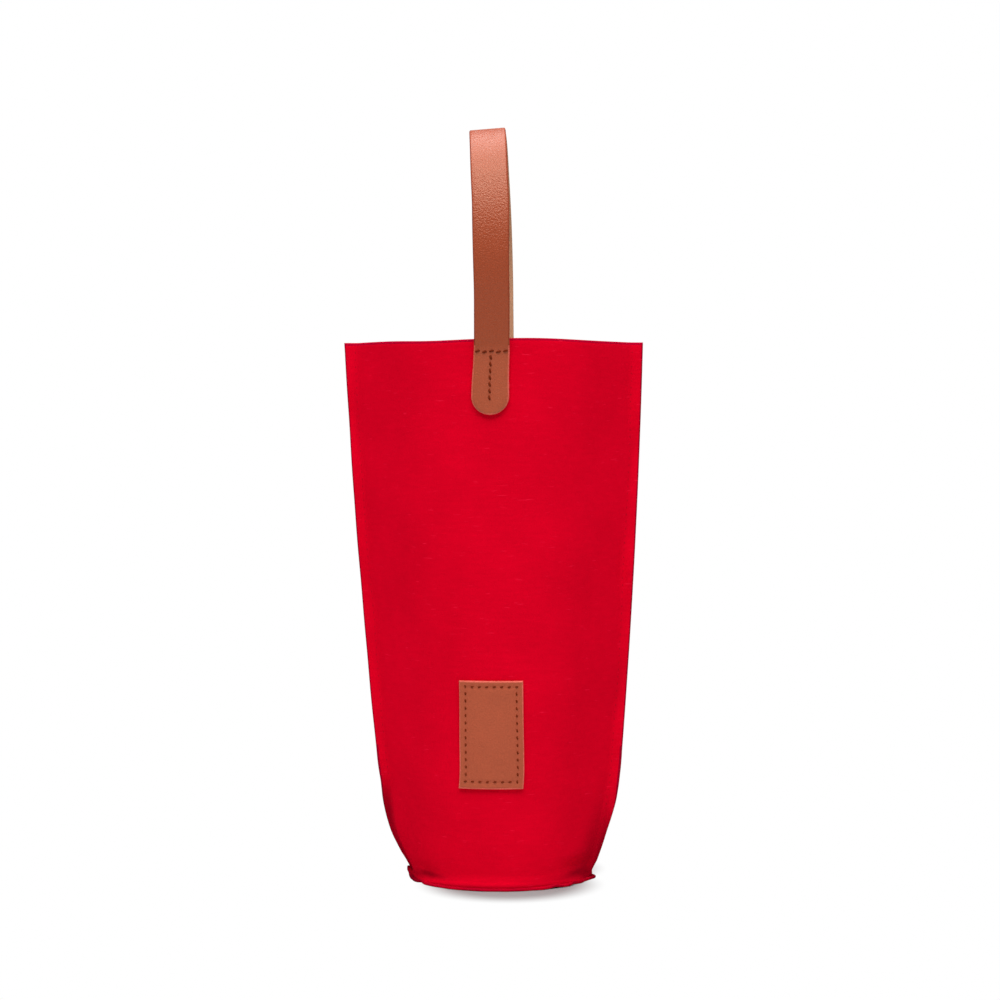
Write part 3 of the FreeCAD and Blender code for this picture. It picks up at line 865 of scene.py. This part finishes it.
class CARRIER_OT_felt_panels(bpy.types.Operator):
    """Cut the two felt panels, form them over the pouch and turn their allowances outward"""

    bl_idname = "carrier.felt_panels"
    bl_label = "Felt Panels"

    # Columns of half the wall, crowded towards the fold, and of the allowance in parts of its usual width.
    WALL_COLUMNS, CROWDING = 53, 1.15
    BRIM_COLUMNS, BRIM_WIDTH = (0.15, 0.30, 0.45, 0.58), 0.0043
    # Rows of the bend over the lip, close rows of the low wall, and rows above them.
    BEND_ROWS, CLOSE_STEP, CLOSE_TOP, UPPER_ROWS = 10, 0.0012, 0.045, 120
    AREA_ROWS = 200

    # The bend between wall and lip, and the rest and give of the lip where it is pressed into the base.
    LIP_TOP, WALL_LOW = 0.0041, 0.0080
    LIP_REST, LIP_GIVE = 0.00075, 0.25
    # The lip faces as the wall does short of the fold. It changes near the corner and drops at the brim.
    LIP_FACING, NEAR_CORNER, DROP = 0.97, (0.6, 0.4), (1.0, 0.9)
    # Waves of the lip: part, length, and start on the front and on the rear.
    LIP_WAVES = ((1.0, 0.0165, 2.6, 1.0), (0.6, 0.0089, 0.7, 0.7))
    # How far they go outward and upward, and what is left of them away from the corners.
    WAVE_OUT, WAVE_UP, WAVE_LEAST = 0.00025, 0.00022, 0.3
    # Radius of its cut edge, what the left and right corners add, and the least it reaches out.
    LIP_RADIUS, LIP_CORNERS, LEAST_REACH = 0.0442, (-0.0016, 0.0006), 0.0018
    # Slope of the lip: everywhere, then on the left and right away from the middle and at a corner.
    SLOPE, SIDE_SLOPES, SIDE_START, CORNER_SLOPES = 0.38, (0.55, 0.80), (0.15, 0.4), (0.7, 0.1)
    # The drop at the brim: its slope, how much shorter and less outward it is, and the longest edge.
    DROP_SLOPE, DROP_SHORTER, DROP_INWARD, LONGEST_EDGE = 0.5, 0.5, 0.8, 0.8
    # How much of a side allowance is left at its foot, and where it is whole, on the left and on the right.
    KEPT, KEPT_RISE = (0.45, 0.40), ((0.0040, 0.0060), (0.0030, 0.0050))

    # Painted shade on the felt, where it would lie in shadow. At the foot of the allowances: strength, edge
    # and top on the left and on the right.
    STRIP, REAR_STRIP = 0.77, 0.3
    STRIP_EDGE, STRIP_TOP = ((0.965, 0.05), (1.0, 0.12)), ((0.030, 0.020), (0.018, 0.016))
    # Painted shade on the lip: everywhere, at the corners, and more on the right.
    DULL, DULL_TOP, DULL_CORNER = 0.20, (0.0035, 0.002), 0.5
    CORNER_EDGE, DULL_RIGHT, RIGHT_EDGE = ((0.52, 0.2), (0.80, 0.15)), 0.12, (0.1, 0.3)
    # In the hollow beside the right fold: strength, distance from the fold, reach and top.
    HOLLOW, HOLLOW_INSET, HOLLOW_REACH, HOLLOW_TOP = 0.55, 0.001, 0.009, (0.014, 0.038)
    # In the creases over the base: middle and reach along it, by girth or from the fold, and upwards.
    CREASE, LEFT_CREASE, RIGHT_CREASE = 0.9, (-0.033, 0.011), (0.011, 0.012)
    LEFT_LEVEL, RIGHT_LEVEL = (0.0050, 0.0014), (0.0048, 0.0018)

    def execute(self, context):
        for name, node, rear in (("felt_front", "front_panel", False), ("felt_rear", "rear_panel", True)):
            self.panel(context.scene.carrier_felt, name, node, rear)
        return {"FINISHED"}

    def panel(self, felt, name, node, rear):
        """One panel, from its flat cut to its finish."""
        pouch = Pouch(felt, rear)
        columns = self.columns(felt)
        edge = felt.edge_round * EDGE_ROWS
        lip = np.append(edge, felt.edge_round)
        bend = np.linspace(0, 1, self.BEND_ROWS)[1:-1]
        low = np.arange(self.WALL_LOW, self.CLOSE_TOP, self.CLOSE_STEP)
        high = np.linspace(self.CLOSE_TOP, felt.rim_height - felt.edge_round, self.UPPER_ROWS)
        heights = np.concatenate([low, high, felt.rim_height - edge[::-1]])
        first = len(lip) + len(bend)
        piece, column, row = cut_flat(name, len(columns) - 1, first + len(heights) - 1)
        across = columns[column]
        z = heights[np.maximum(row - first, 0)]
        points = self.trimmed(pouch, across, z)
        inset = np.minimum(felt.rim_height - z, self.brim_inset(pouch, across, z))
        foot = row < first
        out = np.concatenate([lip, np.full(len(bend), felt.edge_round)])[row[foot]]
        curl = np.concatenate([np.zeros(len(lip)), bend])[row[foot]]
        points[foot] = self.lip(pouch, across[foot], out, curl)
        inset[foot] = np.minimum(inset[foot], np.where(curl > 0, 1, out))
        dress(piece, felt_finish(), felt_finish("panel"))
        # Painted shade at the foot of the allowances, in the hollow and creases over the base, and on the
        # lip.
        mark_painted_shade(piece, self.pressed(pouch, across, z, points[:, 2]))
        pad(piece, points, inset, (0, pouch.out, 0), felt.thickness, felt.edge_round)
        self.press_lip(piece)
        hand_over(piece, "felt", node)
        area, width = self.cut_area(pouch)

    def columns(self, felt):
        """Places across the cut: 0 in the middle, 1 at a fold and 2 at a cut edge."""
        wall = 1 - (1 - np.linspace(0, 1, self.WALL_COLUMNS)) ** self.CROWDING
        edge = felt.edge_round * np.append(EDGE_ROWS, 1)[::-1]
        half = np.concatenate([wall, 1 + np.concatenate([self.BRIM_COLUMNS, 1 - edge / self.BRIM_WIDTH])])
        return np.concatenate([-half[:0:-1], half])

    def press_lip(self, piece):
        """Presses the drooping lip flat in the base, clear of the floor, with one finish all over."""
        for vertex in piece.data.vertices:
            vertex.co.z = max(vertex.co.z, self.LIP_REST + self.LIP_GIVE * vertex.co.z)
        for face in piece.data.polygons:
            if face.center.z < self.WALL_LOW:
                face.material_index = 0

    def pressed(self, pouch, across, z, height):
        """How much shade is painted on the felt: foot of the allowances, hollow beside the right fold,
        creases over the base, and the lip.
        """
        girth, side, left = pouch.girth(across, z), np.abs(across), across < 0
        inside = pouch.section(z).wall - np.abs(girth)
        brim = ease_sides(left, side, self.STRIP_EDGE)
        strip = self.STRIP * brim * (1 - ease_sides(left, z, self.STRIP_TOP))
        right = np.where(left, 0, self.DULL_RIGHT * ease(side, *self.RIGHT_EDGE))
        lip_shade = self.DULL + right + self.DULL_CORNER * ease_sides(left, side, self.CORNER_EDGE)
        lip_shade = lip_shade * (1 - ease(height, *self.DULL_TOP))
        if pouch.rear:
            return 1 - (1 - self.REAR_STRIP * strip) * (1 - lip_shade)
        hollow = bell(np.maximum(inside - self.HOLLOW_INSET, 0), 0, self.HOLLOW_REACH)
        hollow = self.HOLLOW * hollow * (1 - brim) * (1 - ease(z, *self.HOLLOW_TOP))
        hollow = np.where(left, 0, hollow)
        crease = np.where(left, bell(girth, *self.LEFT_CREASE) * bell(height, *self.LEFT_LEVEL),
                          bell(inside, *self.RIGHT_CREASE) * bell(height, *self.RIGHT_LEVEL))
        return 1 - (1 - strip) * (1 - hollow) * (1 - self.CREASE * crease) * (1 - lip_shade)

    def keep(self, across, z):
        """How much of the side allowance is left where it is cut back towards the base."""
        left = across < 0
        least = np.where(left, *self.KEPT)
        return least + (1 - least) * ease_sides(left, z, self.KEPT_RISE)

    def brim_inset(self, pouch, across, z):
        """Distance to the cut edge of the side allowance."""
        side = np.abs(across)
        return np.where(side > 1, (2 - side) * pouch.section(z).edge * self.keep(across, z), 1)

    def trimmed(self, pouch, across, z):
        """The wall, with the side allowance cut back where it runs into the base."""
        points = pouch.place(pouch.girth(across, z), z)
        fold = pouch.place(pouch.girth(np.sign(across), z), z)
        brim = (np.abs(across) > 1)[:, None]
        return np.where(brim, fold + (points - fold) * self.keep(across, z)[:, None], points)

    def lip(self, pouch, across, out, curl):
        """The bottom allowance: turned out over the base, drawn down where it meets a side seam."""
        height = np.full_like(across, self.LIP_TOP)
        corner = self.trimmed(pouch, across, height)
        corner[:, 2] = self.LIP_TOP
        wall = self.trimmed(pouch, across, np.full_like(across, self.WALL_LOW))
        side, left = np.abs(across), across < 0
        girth = pouch.girth(across, height)
        near, drop = ease(side, *self.NEAR_CORNER), ease(side, *self.DROP)
        wave = self.lip_wave(pouch, girth) * (self.WAVE_LEAST + near)
        reach = self.LIP_RADIUS + np.where(left, *self.LIP_CORNERS) * near - np.hypot(*corner[:, :2].T)
        reach = np.maximum(reach, self.LEAST_REACH) + self.WAVE_OUT * wave
        reach = reach * (1 - self.DROP_SHORTER * drop)
        shown = np.copysign(np.minimum(side, self.LIP_FACING), across)
        direction = pouch.normal(pouch.girth(shown, height), height)
        direction[:, 2] = 0
        direction = unit(direction) * (1 - self.DROP_INWARD * drop)[:, None]
        direction[:, 2] -= self.SLOPE + np.where(left, *self.SIDE_SLOPES) * ease(side, *self.SIDE_START)
        direction[:, 2] -= np.where(left, *self.CORNER_SLOPES) * near + self.DROP_SLOPE * drop
        end = corner + unit(direction) * reach[:, None]
        end[:, 2] += self.WAVE_UP * wave
        straight = np.minimum(out / reach, self.LONGEST_EDGE)[:, None]
        root = end + (corner - end) * straight
        curl = curl[:, None]
        return root * (1 - curl) ** 2 + corner * 2 * curl * (1 - curl) + wall * curl**2

    def lip_wave(self, pouch, girth):
        """Waves along the cut edge of the lip."""
        return sum(part * np.sin(2 * math.pi * girth / span + (rear if pouch.rear else front))
                   for part, span, front, rear in self.LIP_WAVES)

    def cut_area(self, pouch):
        """Flat area and greatest width of the cut."""
        felt = pouch.felt
        z = np.linspace(felt.thickness, felt.rim_height, self.AREA_ROWS)
        width = 2 * pouch.girth(np.full_like(z, 2.0), z)
        return float(np.mean(width) * felt.rim_height), float(width.max())


class CARRIER_OT_felt_base(bpy.types.Operator):
    """Cut the felt base, press the seam's groove into its underside and round its cut edge"""

    bl_idname = "carrier.felt_base"
    bl_label = "Felt Base"

    SIDES, ROUNDING, ROUND_STEPS = 200, 0.0009, 4
    GROOVE_INSET, GROOVE_WIDTH, GROOVE_DEPTH = 0.00125, 0.0013, 0.0006
    GROOVE_MARGIN = 0.0002
    TOP_RINGS = (0.001, 0.001, 0.0015, 0.004, 0.008)
    CUT_EDGE = 0.001  # the rim's width that has the cut edge's finish
    LEVEL = 0.999  # upward part of a level face's normal

    # Angles run from the right tip, and round the front they are negative. Growth is in parts of the radius.
    TIP_REACH, TIP_GROWTH = 0.15, 0.062
    TAG_REACH, TAG_GROWTH = 0.10, 0.052
    FRONT_GROWTH, TRIM = 0.028, 0.012
    # The cut edge, in parts of the radius: where it starts to grow, to be pressed thin, to curl, to take
    # painted shade.
    GROWING, THINNING, CURLING, DARKENING = (0.9, 0.1), (0.84, 0.07), (0.925, 0.075), (0.86, 0.06)
    THINNED, CURL_HEIGHT, CURL_POWER = 0.45, 0.0015, 1.6
    # Ragged cut: part, count and start of its waves, and their size everywhere and more round one place.
    RAGS, RAGGED, MORE_RAGGED, RAGGED_PLACE = ((1, 19, 0.8), (0.6, 31, 0)), 0.003, 0.007, (-0.35, 0.35)
    # Places where the edge lifts off the floor: angle, reach and height.
    LIFTS = ((-0.77, 0.07, 0.0009), (-0.50, 0.06, 0.0004), (-2.45, 0.06, 0.0008))
    # Places where shade is painted on it: angle, reach and strength.
    PAINTED_SHADES = ((-2.72, 0.32, 1.0), (-0.36, 0.26, 0.6))

    def execute(self, context):
        felt = context.scene.carrier_felt
        radius = felt.half_depth + felt.base_allowance
        put_down()
        bpy.ops.mesh.primitive_cylinder_add(vertices=self.SIDES, radius=radius, depth=felt.thickness,
                                            location=(0, 0, felt.thickness / 2), end_fill_type="NGON")
        piece = named("felt_base")
        apply_place()
        with editing("DESELECT"):
            bpy.ops.mesh.edges_select_sharp(sharpness=SHARP)
            bpy.ops.mesh.bevel(offset=self.ROUNDING, segments=self.ROUND_STEPS)
        self.groove(piece)
        self.select_cap(piece, 1)
        for inset in self.TOP_RINGS:
            bpy.ops.mesh.inset(thickness=inset)
        put_down()
        dress(piece, felt_finish(), felt_finish("base"))
        # Partly painted shade: the base's cut edge takes the darker edge finish, for the shade under the
        # lip.
        for face in piece.data.polygons:
            face.material_index = int(math.hypot(*face.center.xy) > radius - self.CUT_EDGE)
        self.shape(piece, felt, radius)
        take(piece)
        bpy.ops.object.shade_smooth_by_angle(angle=SHARP)
        hand_over(piece, "felt", "base_disc")
        return {"FINISHED"}

    def select_cap(self, piece, up):
        """Selects the level top, or the level underside, in edit mode."""
        take(piece)
        with editing("DESELECT"):
            bpy.context.tool_settings.mesh_select_mode = (False, False, True)
        for face in piece.data.polygons:
            face.select = face.normal.z * up > self.LEVEL
        bpy.ops.object.mode_set(mode="EDIT")

    def groove(self, piece):
        """A ring pressed into the underside."""
        self.select_cap(piece, -1)
        for inset in (self.GROOVE_INSET, self.GROOVE_WIDTH):
            bpy.ops.mesh.inset(thickness=inset)
        bpy.ops.object.mode_set(mode="OBJECT")
        inner = max((face for face in piece.data.polygons if face.select), key=lambda face: face.area)
        limit = max(math.hypot(*piece.data.vertices[i].co.xy) for i in inner.vertices)
        for face in piece.data.polygons:
            ring = limit - self.GROOVE_MARGIN < math.hypot(*face.center.xy) < limit + self.GROOVE_WIDTH
            face.select = ring and face.normal.z < -self.LEVEL
        bpy.ops.object.mode_set(mode="EDIT")
        bpy.ops.mesh.extrude_region_move(TRANSFORM_OT_translate={"value": (0, 0, self.GROOVE_DEPTH)})
        bpy.ops.object.mode_set(mode="OBJECT")

    def shape(self, piece, felt, radius):
        """Thins the sewn edge, draws the cut out to its right tip and curls its left one up as a tag."""
        x, y, z = points_of(piece).T
        reach = np.hypot(x, y) / radius
        turn = np.arctan2(y, x) + felt.twist
        tip = bell(turn, 0, self.TIP_REACH)
        tag = bell(math.pi - np.abs(turn), 0, self.TAG_REACH)
        edge, curl, rim = (np.maximum((reach - start) / span, 0)
                           for start, span in (self.GROWING, self.CURLING, self.DARKENING))
        wave = sum(part * np.sin(count * turn + start) for part, count, start in self.RAGS)
        ragged = self.RAGGED + self.MORE_RAGGED * bell(turn, *self.RAGGED_PLACE)
        front = self.FRONT_GROWTH * np.maximum(-np.sin(turn), 0)
        ends = self.TIP_GROWTH * tip + self.TAG_GROWTH * tag
        grow = 1 + edge * (ends + front + ragged * wave - self.TRIM)
        press = 1 - self.THINNED * ease(reach, *self.THINNING) * (1 - tag)
        lift = sum(height * bell(turn, middle, wide) for middle, wide, height in self.LIFTS)
        curl = self.CURL_HEIGHT * curl**self.CURL_POWER * tag
        form(piece, np.stack([x * grow, y * grow, z * press + lift * edge**2 + curl], axis=1))
        # Painted shade: the cut edge is darkened at the tag, at the tip and at two places round the front.
        dark = [strength * bell(turn, middle, wide) for middle, wide, strength in self.PAINTED_SHADES]
        mark_painted_shade(piece, np.minimum(rim, 1) * np.max([tag, tip, *dark], axis=0))


class CARRIER_OT_felt_seams(bpy.types.Operator):
    """Sew both side seams and the ring under the base"""

    bl_idname = "carrier.felt_seams"
    bl_label = "Felt Seams"

    # A side seam: its lowest stitch, its distance from the rim, its place across the cut, its depth.
    LOWEST, RIM_GAP, ACROSS, DEPTH, STEP = 0.0105, 0.003, 0.99, 0.0004, 0.001
    # The ring: distance from the base's cut edge and height in the groove.
    RING_INSET, RING_HEIGHT = 0.0028, 0.0010

    def execute(self, context):
        scene = context.scene
        felt, thread = scene.carrier_felt, scene.carrier_thread
        panels = Pouch(felt), Pouch(felt, rear=True)
        rows = {side: [place for pouch in panels for place in self.side_row(pouch, thread, side)]
                for side in (-1, 1)}
        for name, node, places in (("seam_left", "left_side_stitching", rows[-1]),
                                   ("seam_right", "right_side_stitching", rows[1]),
                                   ("seam_base", "base_stitching", self.base_row(felt, thread))):
            piece = sew(name, stitch(thread, thread.stitch), places)
            dress(piece, felt_thread_finish())
            hand_over(piece, "felt_thread", node)
        return {"FINISHED"}

    def side_row(self, pouch, thread, side):
        """Stitches up the fold of one side allowance."""
        low, high = self.LOWEST, pouch.felt.rim_height - self.RIM_GAP
        count = round((high - low) / thread.pitch)
        z = low + (high - low) * (np.arange(count) + 0.5) / count
        across = np.full_like(z, side * self.ACROSS)
        girth, above = pouch.girth(across, z), z + self.STEP
        points = pouch.on(girth, z, -self.DEPTH)
        ahead = pouch.on(pouch.girth(across, above), above, 0.0) - points
        return zip(points, ahead, pouch.normal(girth, z))

    def base_row(self, felt, thread):
        """Stitches round the groove under the base."""
        radius = felt.half_depth + felt.base_allowance - self.RING_INSET
        count = round(2 * math.pi * radius / thread.pitch)
        places = []
        for index in range(count):
            turn = 2 * math.pi * index / count
            point = (radius * math.cos(turn), radius * math.sin(turn), self.RING_HEIGHT)
            places.append((point, (-math.sin(turn), math.cos(turn), 0), (0, 0, -1)))
        return places


class CARRIER_OT_strap(bpy.types.Operator):
    """Cut the strap, lay it over the mouth as a loop and give it its face, back and cut edge"""

    bl_idname = "carrier.strap"
    bl_label = "Strap"

    COLUMNS, ROWS, END_ROWS, FIRST_TURN = 9, 200, 14, math.radians(4)
    BACK, CUT, DYED = 1, 2, 3  # numbers of the finishes that follow the face's
    SHADE_RISE = (0.2445, 0.005)  # heights over which painted shade darkens the strap above its tabs
    DYED_BELOW_RIM = 0.004  # how far below the rim the dyed edge starts
    BLEND_REACH = 0.015

    def execute(self, context):
        felt, leather = context.scene.carrier_felt, context.scene.carrier_leather
        line = StrapLine(leather, felt)
        distances = self.spacing(line)
        shares = spaced(self.COLUMNS, leather.tab_width, leather.edge_round) / leather.tab_width * 2 - 1
        piece, column, row = cut_flat("strap", len(shares) - 1, len(distances) - 1)
        distance = distances[row]
        half = line.half_width(distance)
        across = shares[column] * half
        near = line.from_end(distance)
        radius = leather.tab_width / 2
        inset = np.where(near < radius, radius - np.hypot(radius - near, across), half - np.abs(across))
        dress(piece, strap_finish(), leather_back_finish(), leather_edge_finish(),
              leather_edge_finish(dyed=True))
        points = line.place(across, distance)
        # Painted shade on the strap above its tabs.
        mark_painted_shade(piece, ease(points[:, 2], *self.SHADE_RISE))
        pad(piece, points, np.maximum(inset, 0), (0, 0, 1), leather.strap_thickness, leather.edge_round,
            back=self.BACK, edge=self.CUT)
        self.dye_edges(piece, felt.rim_height - self.DYED_BELOW_RIM)
        hand_over(piece, "strap_leather", "strap_front_end", "strap_loop", "strap_rear_end", body=None)
        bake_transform(piece)
        return {"FINISHED"}

    def spacing(self, line):
        """Row distances: close together round the tab ends, even between them."""
        radius = line.leather.tab_width / 2
        turn = np.linspace(self.FIRST_TURN, math.pi / 2, self.END_ROWS + 1)
        ends = radius * (1 - np.cos(turn))
        ends[0] = 0
        middle = np.linspace(radius, line.length - radius, self.ROWS + 1)
        return np.concatenate([ends[:-1], middle, line.length - ends[-2::-1]])

    def dye_edges(self, piece, low):
        """Dyes the outer half of the cut edge above a height. The inner half is as raw as the back."""
        outer = len(piece.data.polygons) / 2
        for face in piece.data.polygons:
            if face.material_index == self.CUT and face.center.z > low:
                face.material_index = self.DYED if face.index < outer else self.BACK


class CARRIER_OT_tab_stitches(bpy.types.Operator):
    """Sew a T of stitches through each tab of the strap"""

    bl_idname = "carrier.tab_stitches"
    bl_label = "Tab Stitches"

    TWIST, BULK, STEP = 0.14, 1.3, 0.001
    # The row across, with its pitch in parts of the tab's and its unevenness, and the row down from it.
    CROSS_COUNT, CROSS_PITCH, UNEVENNESS = 5, 1.03, 0.0002
    DOWN_COUNT, DOWN_GAP = 7, 0.0025

    def execute(self, context):
        scene = context.scene
        thread = scene.carrier_thread
        line = StrapLine(scene.carrier_leather, scene.carrier_felt)
        for name, node, rear in (("tab_thread_front", "front_tab_stitching", False),
                                 ("tab_thread_rear", "rear_tab_stitching", True)):
            one = stitch(thread, thread.stitch, self.TWIST, self.BULK)
            piece = sew(name, one, self.tee(line, thread, rear))
            dress(piece, leather_thread_finish())
            hand_over(piece, "leather_thread", node)
        return {"FINISHED"}

    def tee(self, line, thread, rear):
        """A row across the tab and a row down its middle."""
        cross, pitch = thread.cross_row - line.leather.tab_end, thread.tab_pitch
        spots = []
        for index in range(self.CROSS_COUNT):
            across = pitch * self.CROSS_PITCH * (index - self.CROSS_COUNT // 2)
            spots.append((across, cross + self.UNEVENNESS * (-1) ** index, (self.STEP, 0.0)))
        for index in range(self.DOWN_COUNT):
            spots.append((0.0, cross - self.DOWN_GAP - pitch * index, (0.0, self.STEP)))
        places = []
        for across, distance, step in spots:
            distance = line.length - distance if rear else distance
            point = line.place(across, distance)
            ahead = line.place(across + step[0], distance + step[1]) - point
            places.append((point, ahead, line.normal(across, distance)))
        return places


class CARRIER_OT_patch(bpy.types.Operator):
    """Cut the patch, press its stitch channel, lay it on the front and sew it down"""

    bl_idname = "carrier.patch"
    bl_label = "Patch"

    COLUMNS, ROWS = 56, 92
    CHANNEL_WIDTH, CHANNEL_DEPTH = 0.0009, 0.00022
    # Stitches round the patch from its lower left corner, their twist and depth, and how high they are sewn.
    STITCH_COUNTS, TWIST, DEPTH, SEWN_HIGH = (7, 13, 7, 13), 0.08, 0.0002, 0.0004
    STEP = 0.01  # part of a side

    def execute(self, context):
        scene = context.scene
        felt, leather, thread = scene.carrier_felt, scene.carrier_leather, scene.carrier_thread
        pouch = Pouch(felt)
        top = leather.seat_gap + leather.patch_thickness
        wide = spaced(self.COLUMNS, leather.patch_width, leather.edge_round) - leather.patch_width / 2
        tall = spaced(self.ROWS, leather.patch_high - leather.patch_low, leather.edge_round)
        piece, column, row = cut_flat("leather_patch", len(wide) - 1, len(tall) - 1)
        girth, z = leather.patch_drift + wide[column], leather.patch_low + tall[row]
        inset = self.inside(leather, girth, z)
        height = top - self.CHANNEL_DEPTH * bell(inset, thread.patch_inset, self.CHANNEL_WIDTH)
        dress(piece, patch_finish(), leather_edge_finish())
        points = pouch.on(girth, z, height)
        pad(piece, points, inset, (0, -1, 0), leather.patch_thickness, leather.edge_round)
        hand_over(piece, "patch_leather", "patch")
        one = stitch(thread, thread.patch_stitch, self.TWIST)
        seam = sew("patch_thread", one, self.rectangle(pouch, leather, thread, top - self.DEPTH))
        dress(seam, leather_thread_finish())
        hand_over(seam, "leather_thread", "patch_stitching")
        return {"FINISHED"}

    def inside(self, leather, girth, z):
        """How far a point lies inside the patch's nearest edge."""
        side = leather.patch_width / 2 - np.abs(girth - leather.patch_drift)
        return np.minimum(side, np.minimum(z - leather.patch_low, leather.patch_high - z))

    def rectangle(self, pouch, leather, thread, height):
        """Stitches round the patch, a set distance inside its edge."""
        half = leather.patch_width / 2 - thread.patch_inset
        low = leather.patch_low + thread.patch_inset + self.SEWN_HIGH
        high = leather.patch_high - thread.patch_inset + self.SEWN_HIGH
        corners = np.array([(-half, low), (half, low), (half, high), (-half, high)])
        corners[:, 0] += leather.patch_drift
        places = []
        for count, start, end in zip(self.STITCH_COUNTS, corners, np.roll(corners, -1, axis=0)):
            for index in range(count):
                spot = start + (end - start) * index / count
                point = pouch.on(*spot, height)
                ahead = pouch.on(*(spot + (end - start) * self.STEP), height) - point
                places.append((point, ahead, pouch.normal(*spot)))
        return places


class CARRIER_OT_stage(bpy.types.Operator):
    """Set up the pale floor, the soft light and the camera"""

    bl_idname = "carrier.stage"
    bl_label = "Stage"

    FLOOR_SIZE = 12
    FLOOR_BOUNCE = (0.6, 0.6, 0.6)  # the floor's colour to all but the camera
    # The floor shows its shadow in an oval: its shift and stretch, the middles of its front and rear
    # halves, and the distances between which it clears to white.
    OVAL_SHIFT, OVAL_STRETCH = (-0.007, 0, 0), (1.17, 1, 1)
    OVAL_MIDDLE, OVAL_FADE = (0, 0.023, 0), (0.030, 0.053)
    # Softboxes: place, the point that they look at, and size.
    OVERHEAD = (-0.05, 0.20, 1.30), (-0.05, 0.21, 0), (1.6, 1.3)
    FRONT = (0.02, -1.05, 1.70), (0, 0, 0.15), (1.8, 0.7)
    SENSOR_WIDTH = 36  # millimetres

    def execute(self, context):
        scene, stage = context.scene, context.scene.carrier_stage
        scene.view_settings.view_transform = "Standard"
        self.floor(scene)
        self.sky(scene, stage)
        self.softbox("overhead", stage.key, *self.OVERHEAD)
        self.softbox("front", stage.front, *self.FRONT)
        self.camera(scene, stage)
        return {"FINISHED"}

    def floor(self, scene):
        """A pale floor that keeps the shadow and is white to the camera."""
        put_down()
        bpy.ops.mesh.primitive_plane_add(size=self.FLOOR_SIZE)
        floor = named("floor")
        material = bpy.data.materials.new("floor")
        material.use_nodes = True
        tree = material.node_tree
        shader = tree.nodes["Principled BSDF"]
        shader.inputs["Roughness"].default_value = 1.0
        shader.inputs["Specular IOR Level"].default_value = 0.0
        seen = add_node(tree, "ShaderNodeLightPath").outputs["Is Camera Ray"]
        tone = add_tint(tree, seen, self.FLOOR_BOUNCE, scene.carrier_colours.floor)
        tree.links.new(tone, shader.inputs["Base Color"])
        oval = add_place(tree, shift=self.OVAL_SHIFT, stretch=self.OVAL_STRETCH)
        half = add_node(tree, "ShaderNodeVectorMath", {0: oval}, operation="ABSOLUTE").outputs["Vector"]
        away = add_node(tree, "ShaderNodeVectorMath", {0: half, 1: self.OVAL_MIDDLE}, operation="DISTANCE")
        clear = add_range(tree, away.outputs["Value"], *self.OVAL_FADE, interpolation_type="SMOOTHSTEP")
        white = add_node(tree, "ShaderNodeEmission").outputs[0]
        only = add_node(tree, "ShaderNodeMath", {0: seen, 1: clear}, operation="MULTIPLY").outputs[0]
        both = add_node(tree, "ShaderNodeMixShader", {0: only, 1: shader.outputs[0], 2: white}).outputs[0]
        tree.links.new(both, tree.nodes["Material Output"].inputs["Surface"])
        dress(floor, material)

    def sky(self, scene, stage):
        """Even light all round, white where the camera sees it."""
        world = bpy.data.worlds.new("studio")
        world.use_nodes = True
        scene.world = world
        tree = world.node_tree
        light = tree.nodes["Background"].inputs
        seen = add_node(tree, "ShaderNodeLightPath").outputs["Is Camera Ray"]
        tree.links.new(add_range(tree, seen, 0.0, 1.0, low=stage.sky, high=1.0), light["Strength"])
        light["Color"].default_value = (1, 1, 1, 1)

    def softbox(self, name, power, place, target, size):
        """A wide area lamp that looks at a point."""
        put_down()
        bpy.ops.object.light_add(type="AREA", location=place)
        lamp = named(name)
        lamp.data.energy, lamp.data.shape = power, "RECTANGLE"
        lamp.data.size, lamp.data.size_y = size
        lamp.rotation_euler = (Vector(target) - Vector(place)).to_track_quat("-Z", "Y").to_euler()

    def camera(self, scene, stage):
        """The camera, a little above the middle of the carrier."""
        put_down()
        right, back = math.sin(stage.turn), -math.cos(stage.turn)
        place = (stage.distance * right, stage.distance * back, stage.eye_height)
        bpy.ops.object.camera_add(location=place, rotation=(math.pi / 2 - stage.pitch, 0, stage.turn))
        camera = named("camera")
        camera.data.lens, camera.data.sensor_width = stage.lens, self.SENSOR_WIDTH
        camera.data.dof.use_dof = False
        scene.camera = camera


MAKERS = (
    CARRIER_OT_felt_base,
    CARRIER_OT_felt_panels,
    CARRIER_OT_felt_seams,
    CARRIER_OT_strap,
    CARRIER_OT_tab_stitches,
    CARRIER_OT_patch,
    CARRIER_OT_stage,
)


class CARRIER_PT_sidebar(bpy.types.Panel):
    """Sizes, colours and makers of the carrier"""

    bl_idname = "CARRIER_PT_sidebar"
    bl_label = "Felt Bottle Carrier"
    bl_space_type = "VIEW_3D"
    bl_region_type = "UI"
    bl_category = "Carrier"

    def draw(self, context):
        for name, group in SETTINGS.items():
            box = self.layout.box()
            box.label(text=group.__doc__)
            for setting in group.__annotations__:
                box.prop(getattr(context.scene, name), setting)
        for maker in MAKERS:
            self.layout.operator(maker.bl_idname)


def register():
    """Registers the settings, the makers and the sidebar."""
    for group in (*SETTINGS.values(), *MAKERS, CARRIER_PT_sidebar):
        bpy.utils.register_class(group)
    for name, group in SETTINGS.items():
        setattr(bpy.types.Scene, name, PointerProperty(type=group))


def unregister():
    """Takes back what register added."""
    for name in SETTINGS:
        delattr(bpy.types.Scene, name)
    for group in reversed((*SETTINGS.values(), *MAKERS, CARRIER_PT_sidebar)):
        bpy.utils.unregister_class(group)


def main():
    """Makes every piece and the stage."""
    register()
    bpy.ops.carrier.felt_base()
    bpy.ops.carrier.felt_panels()
    bpy.ops.carrier.felt_seams()
    bpy.ops.carrier.strap()
    bpy.ops.carrier.tab_stitches()
    bpy.ops.carrier.patch()
    bpy.ops.carrier.stage()


if __name__ == "__main__":
    main()
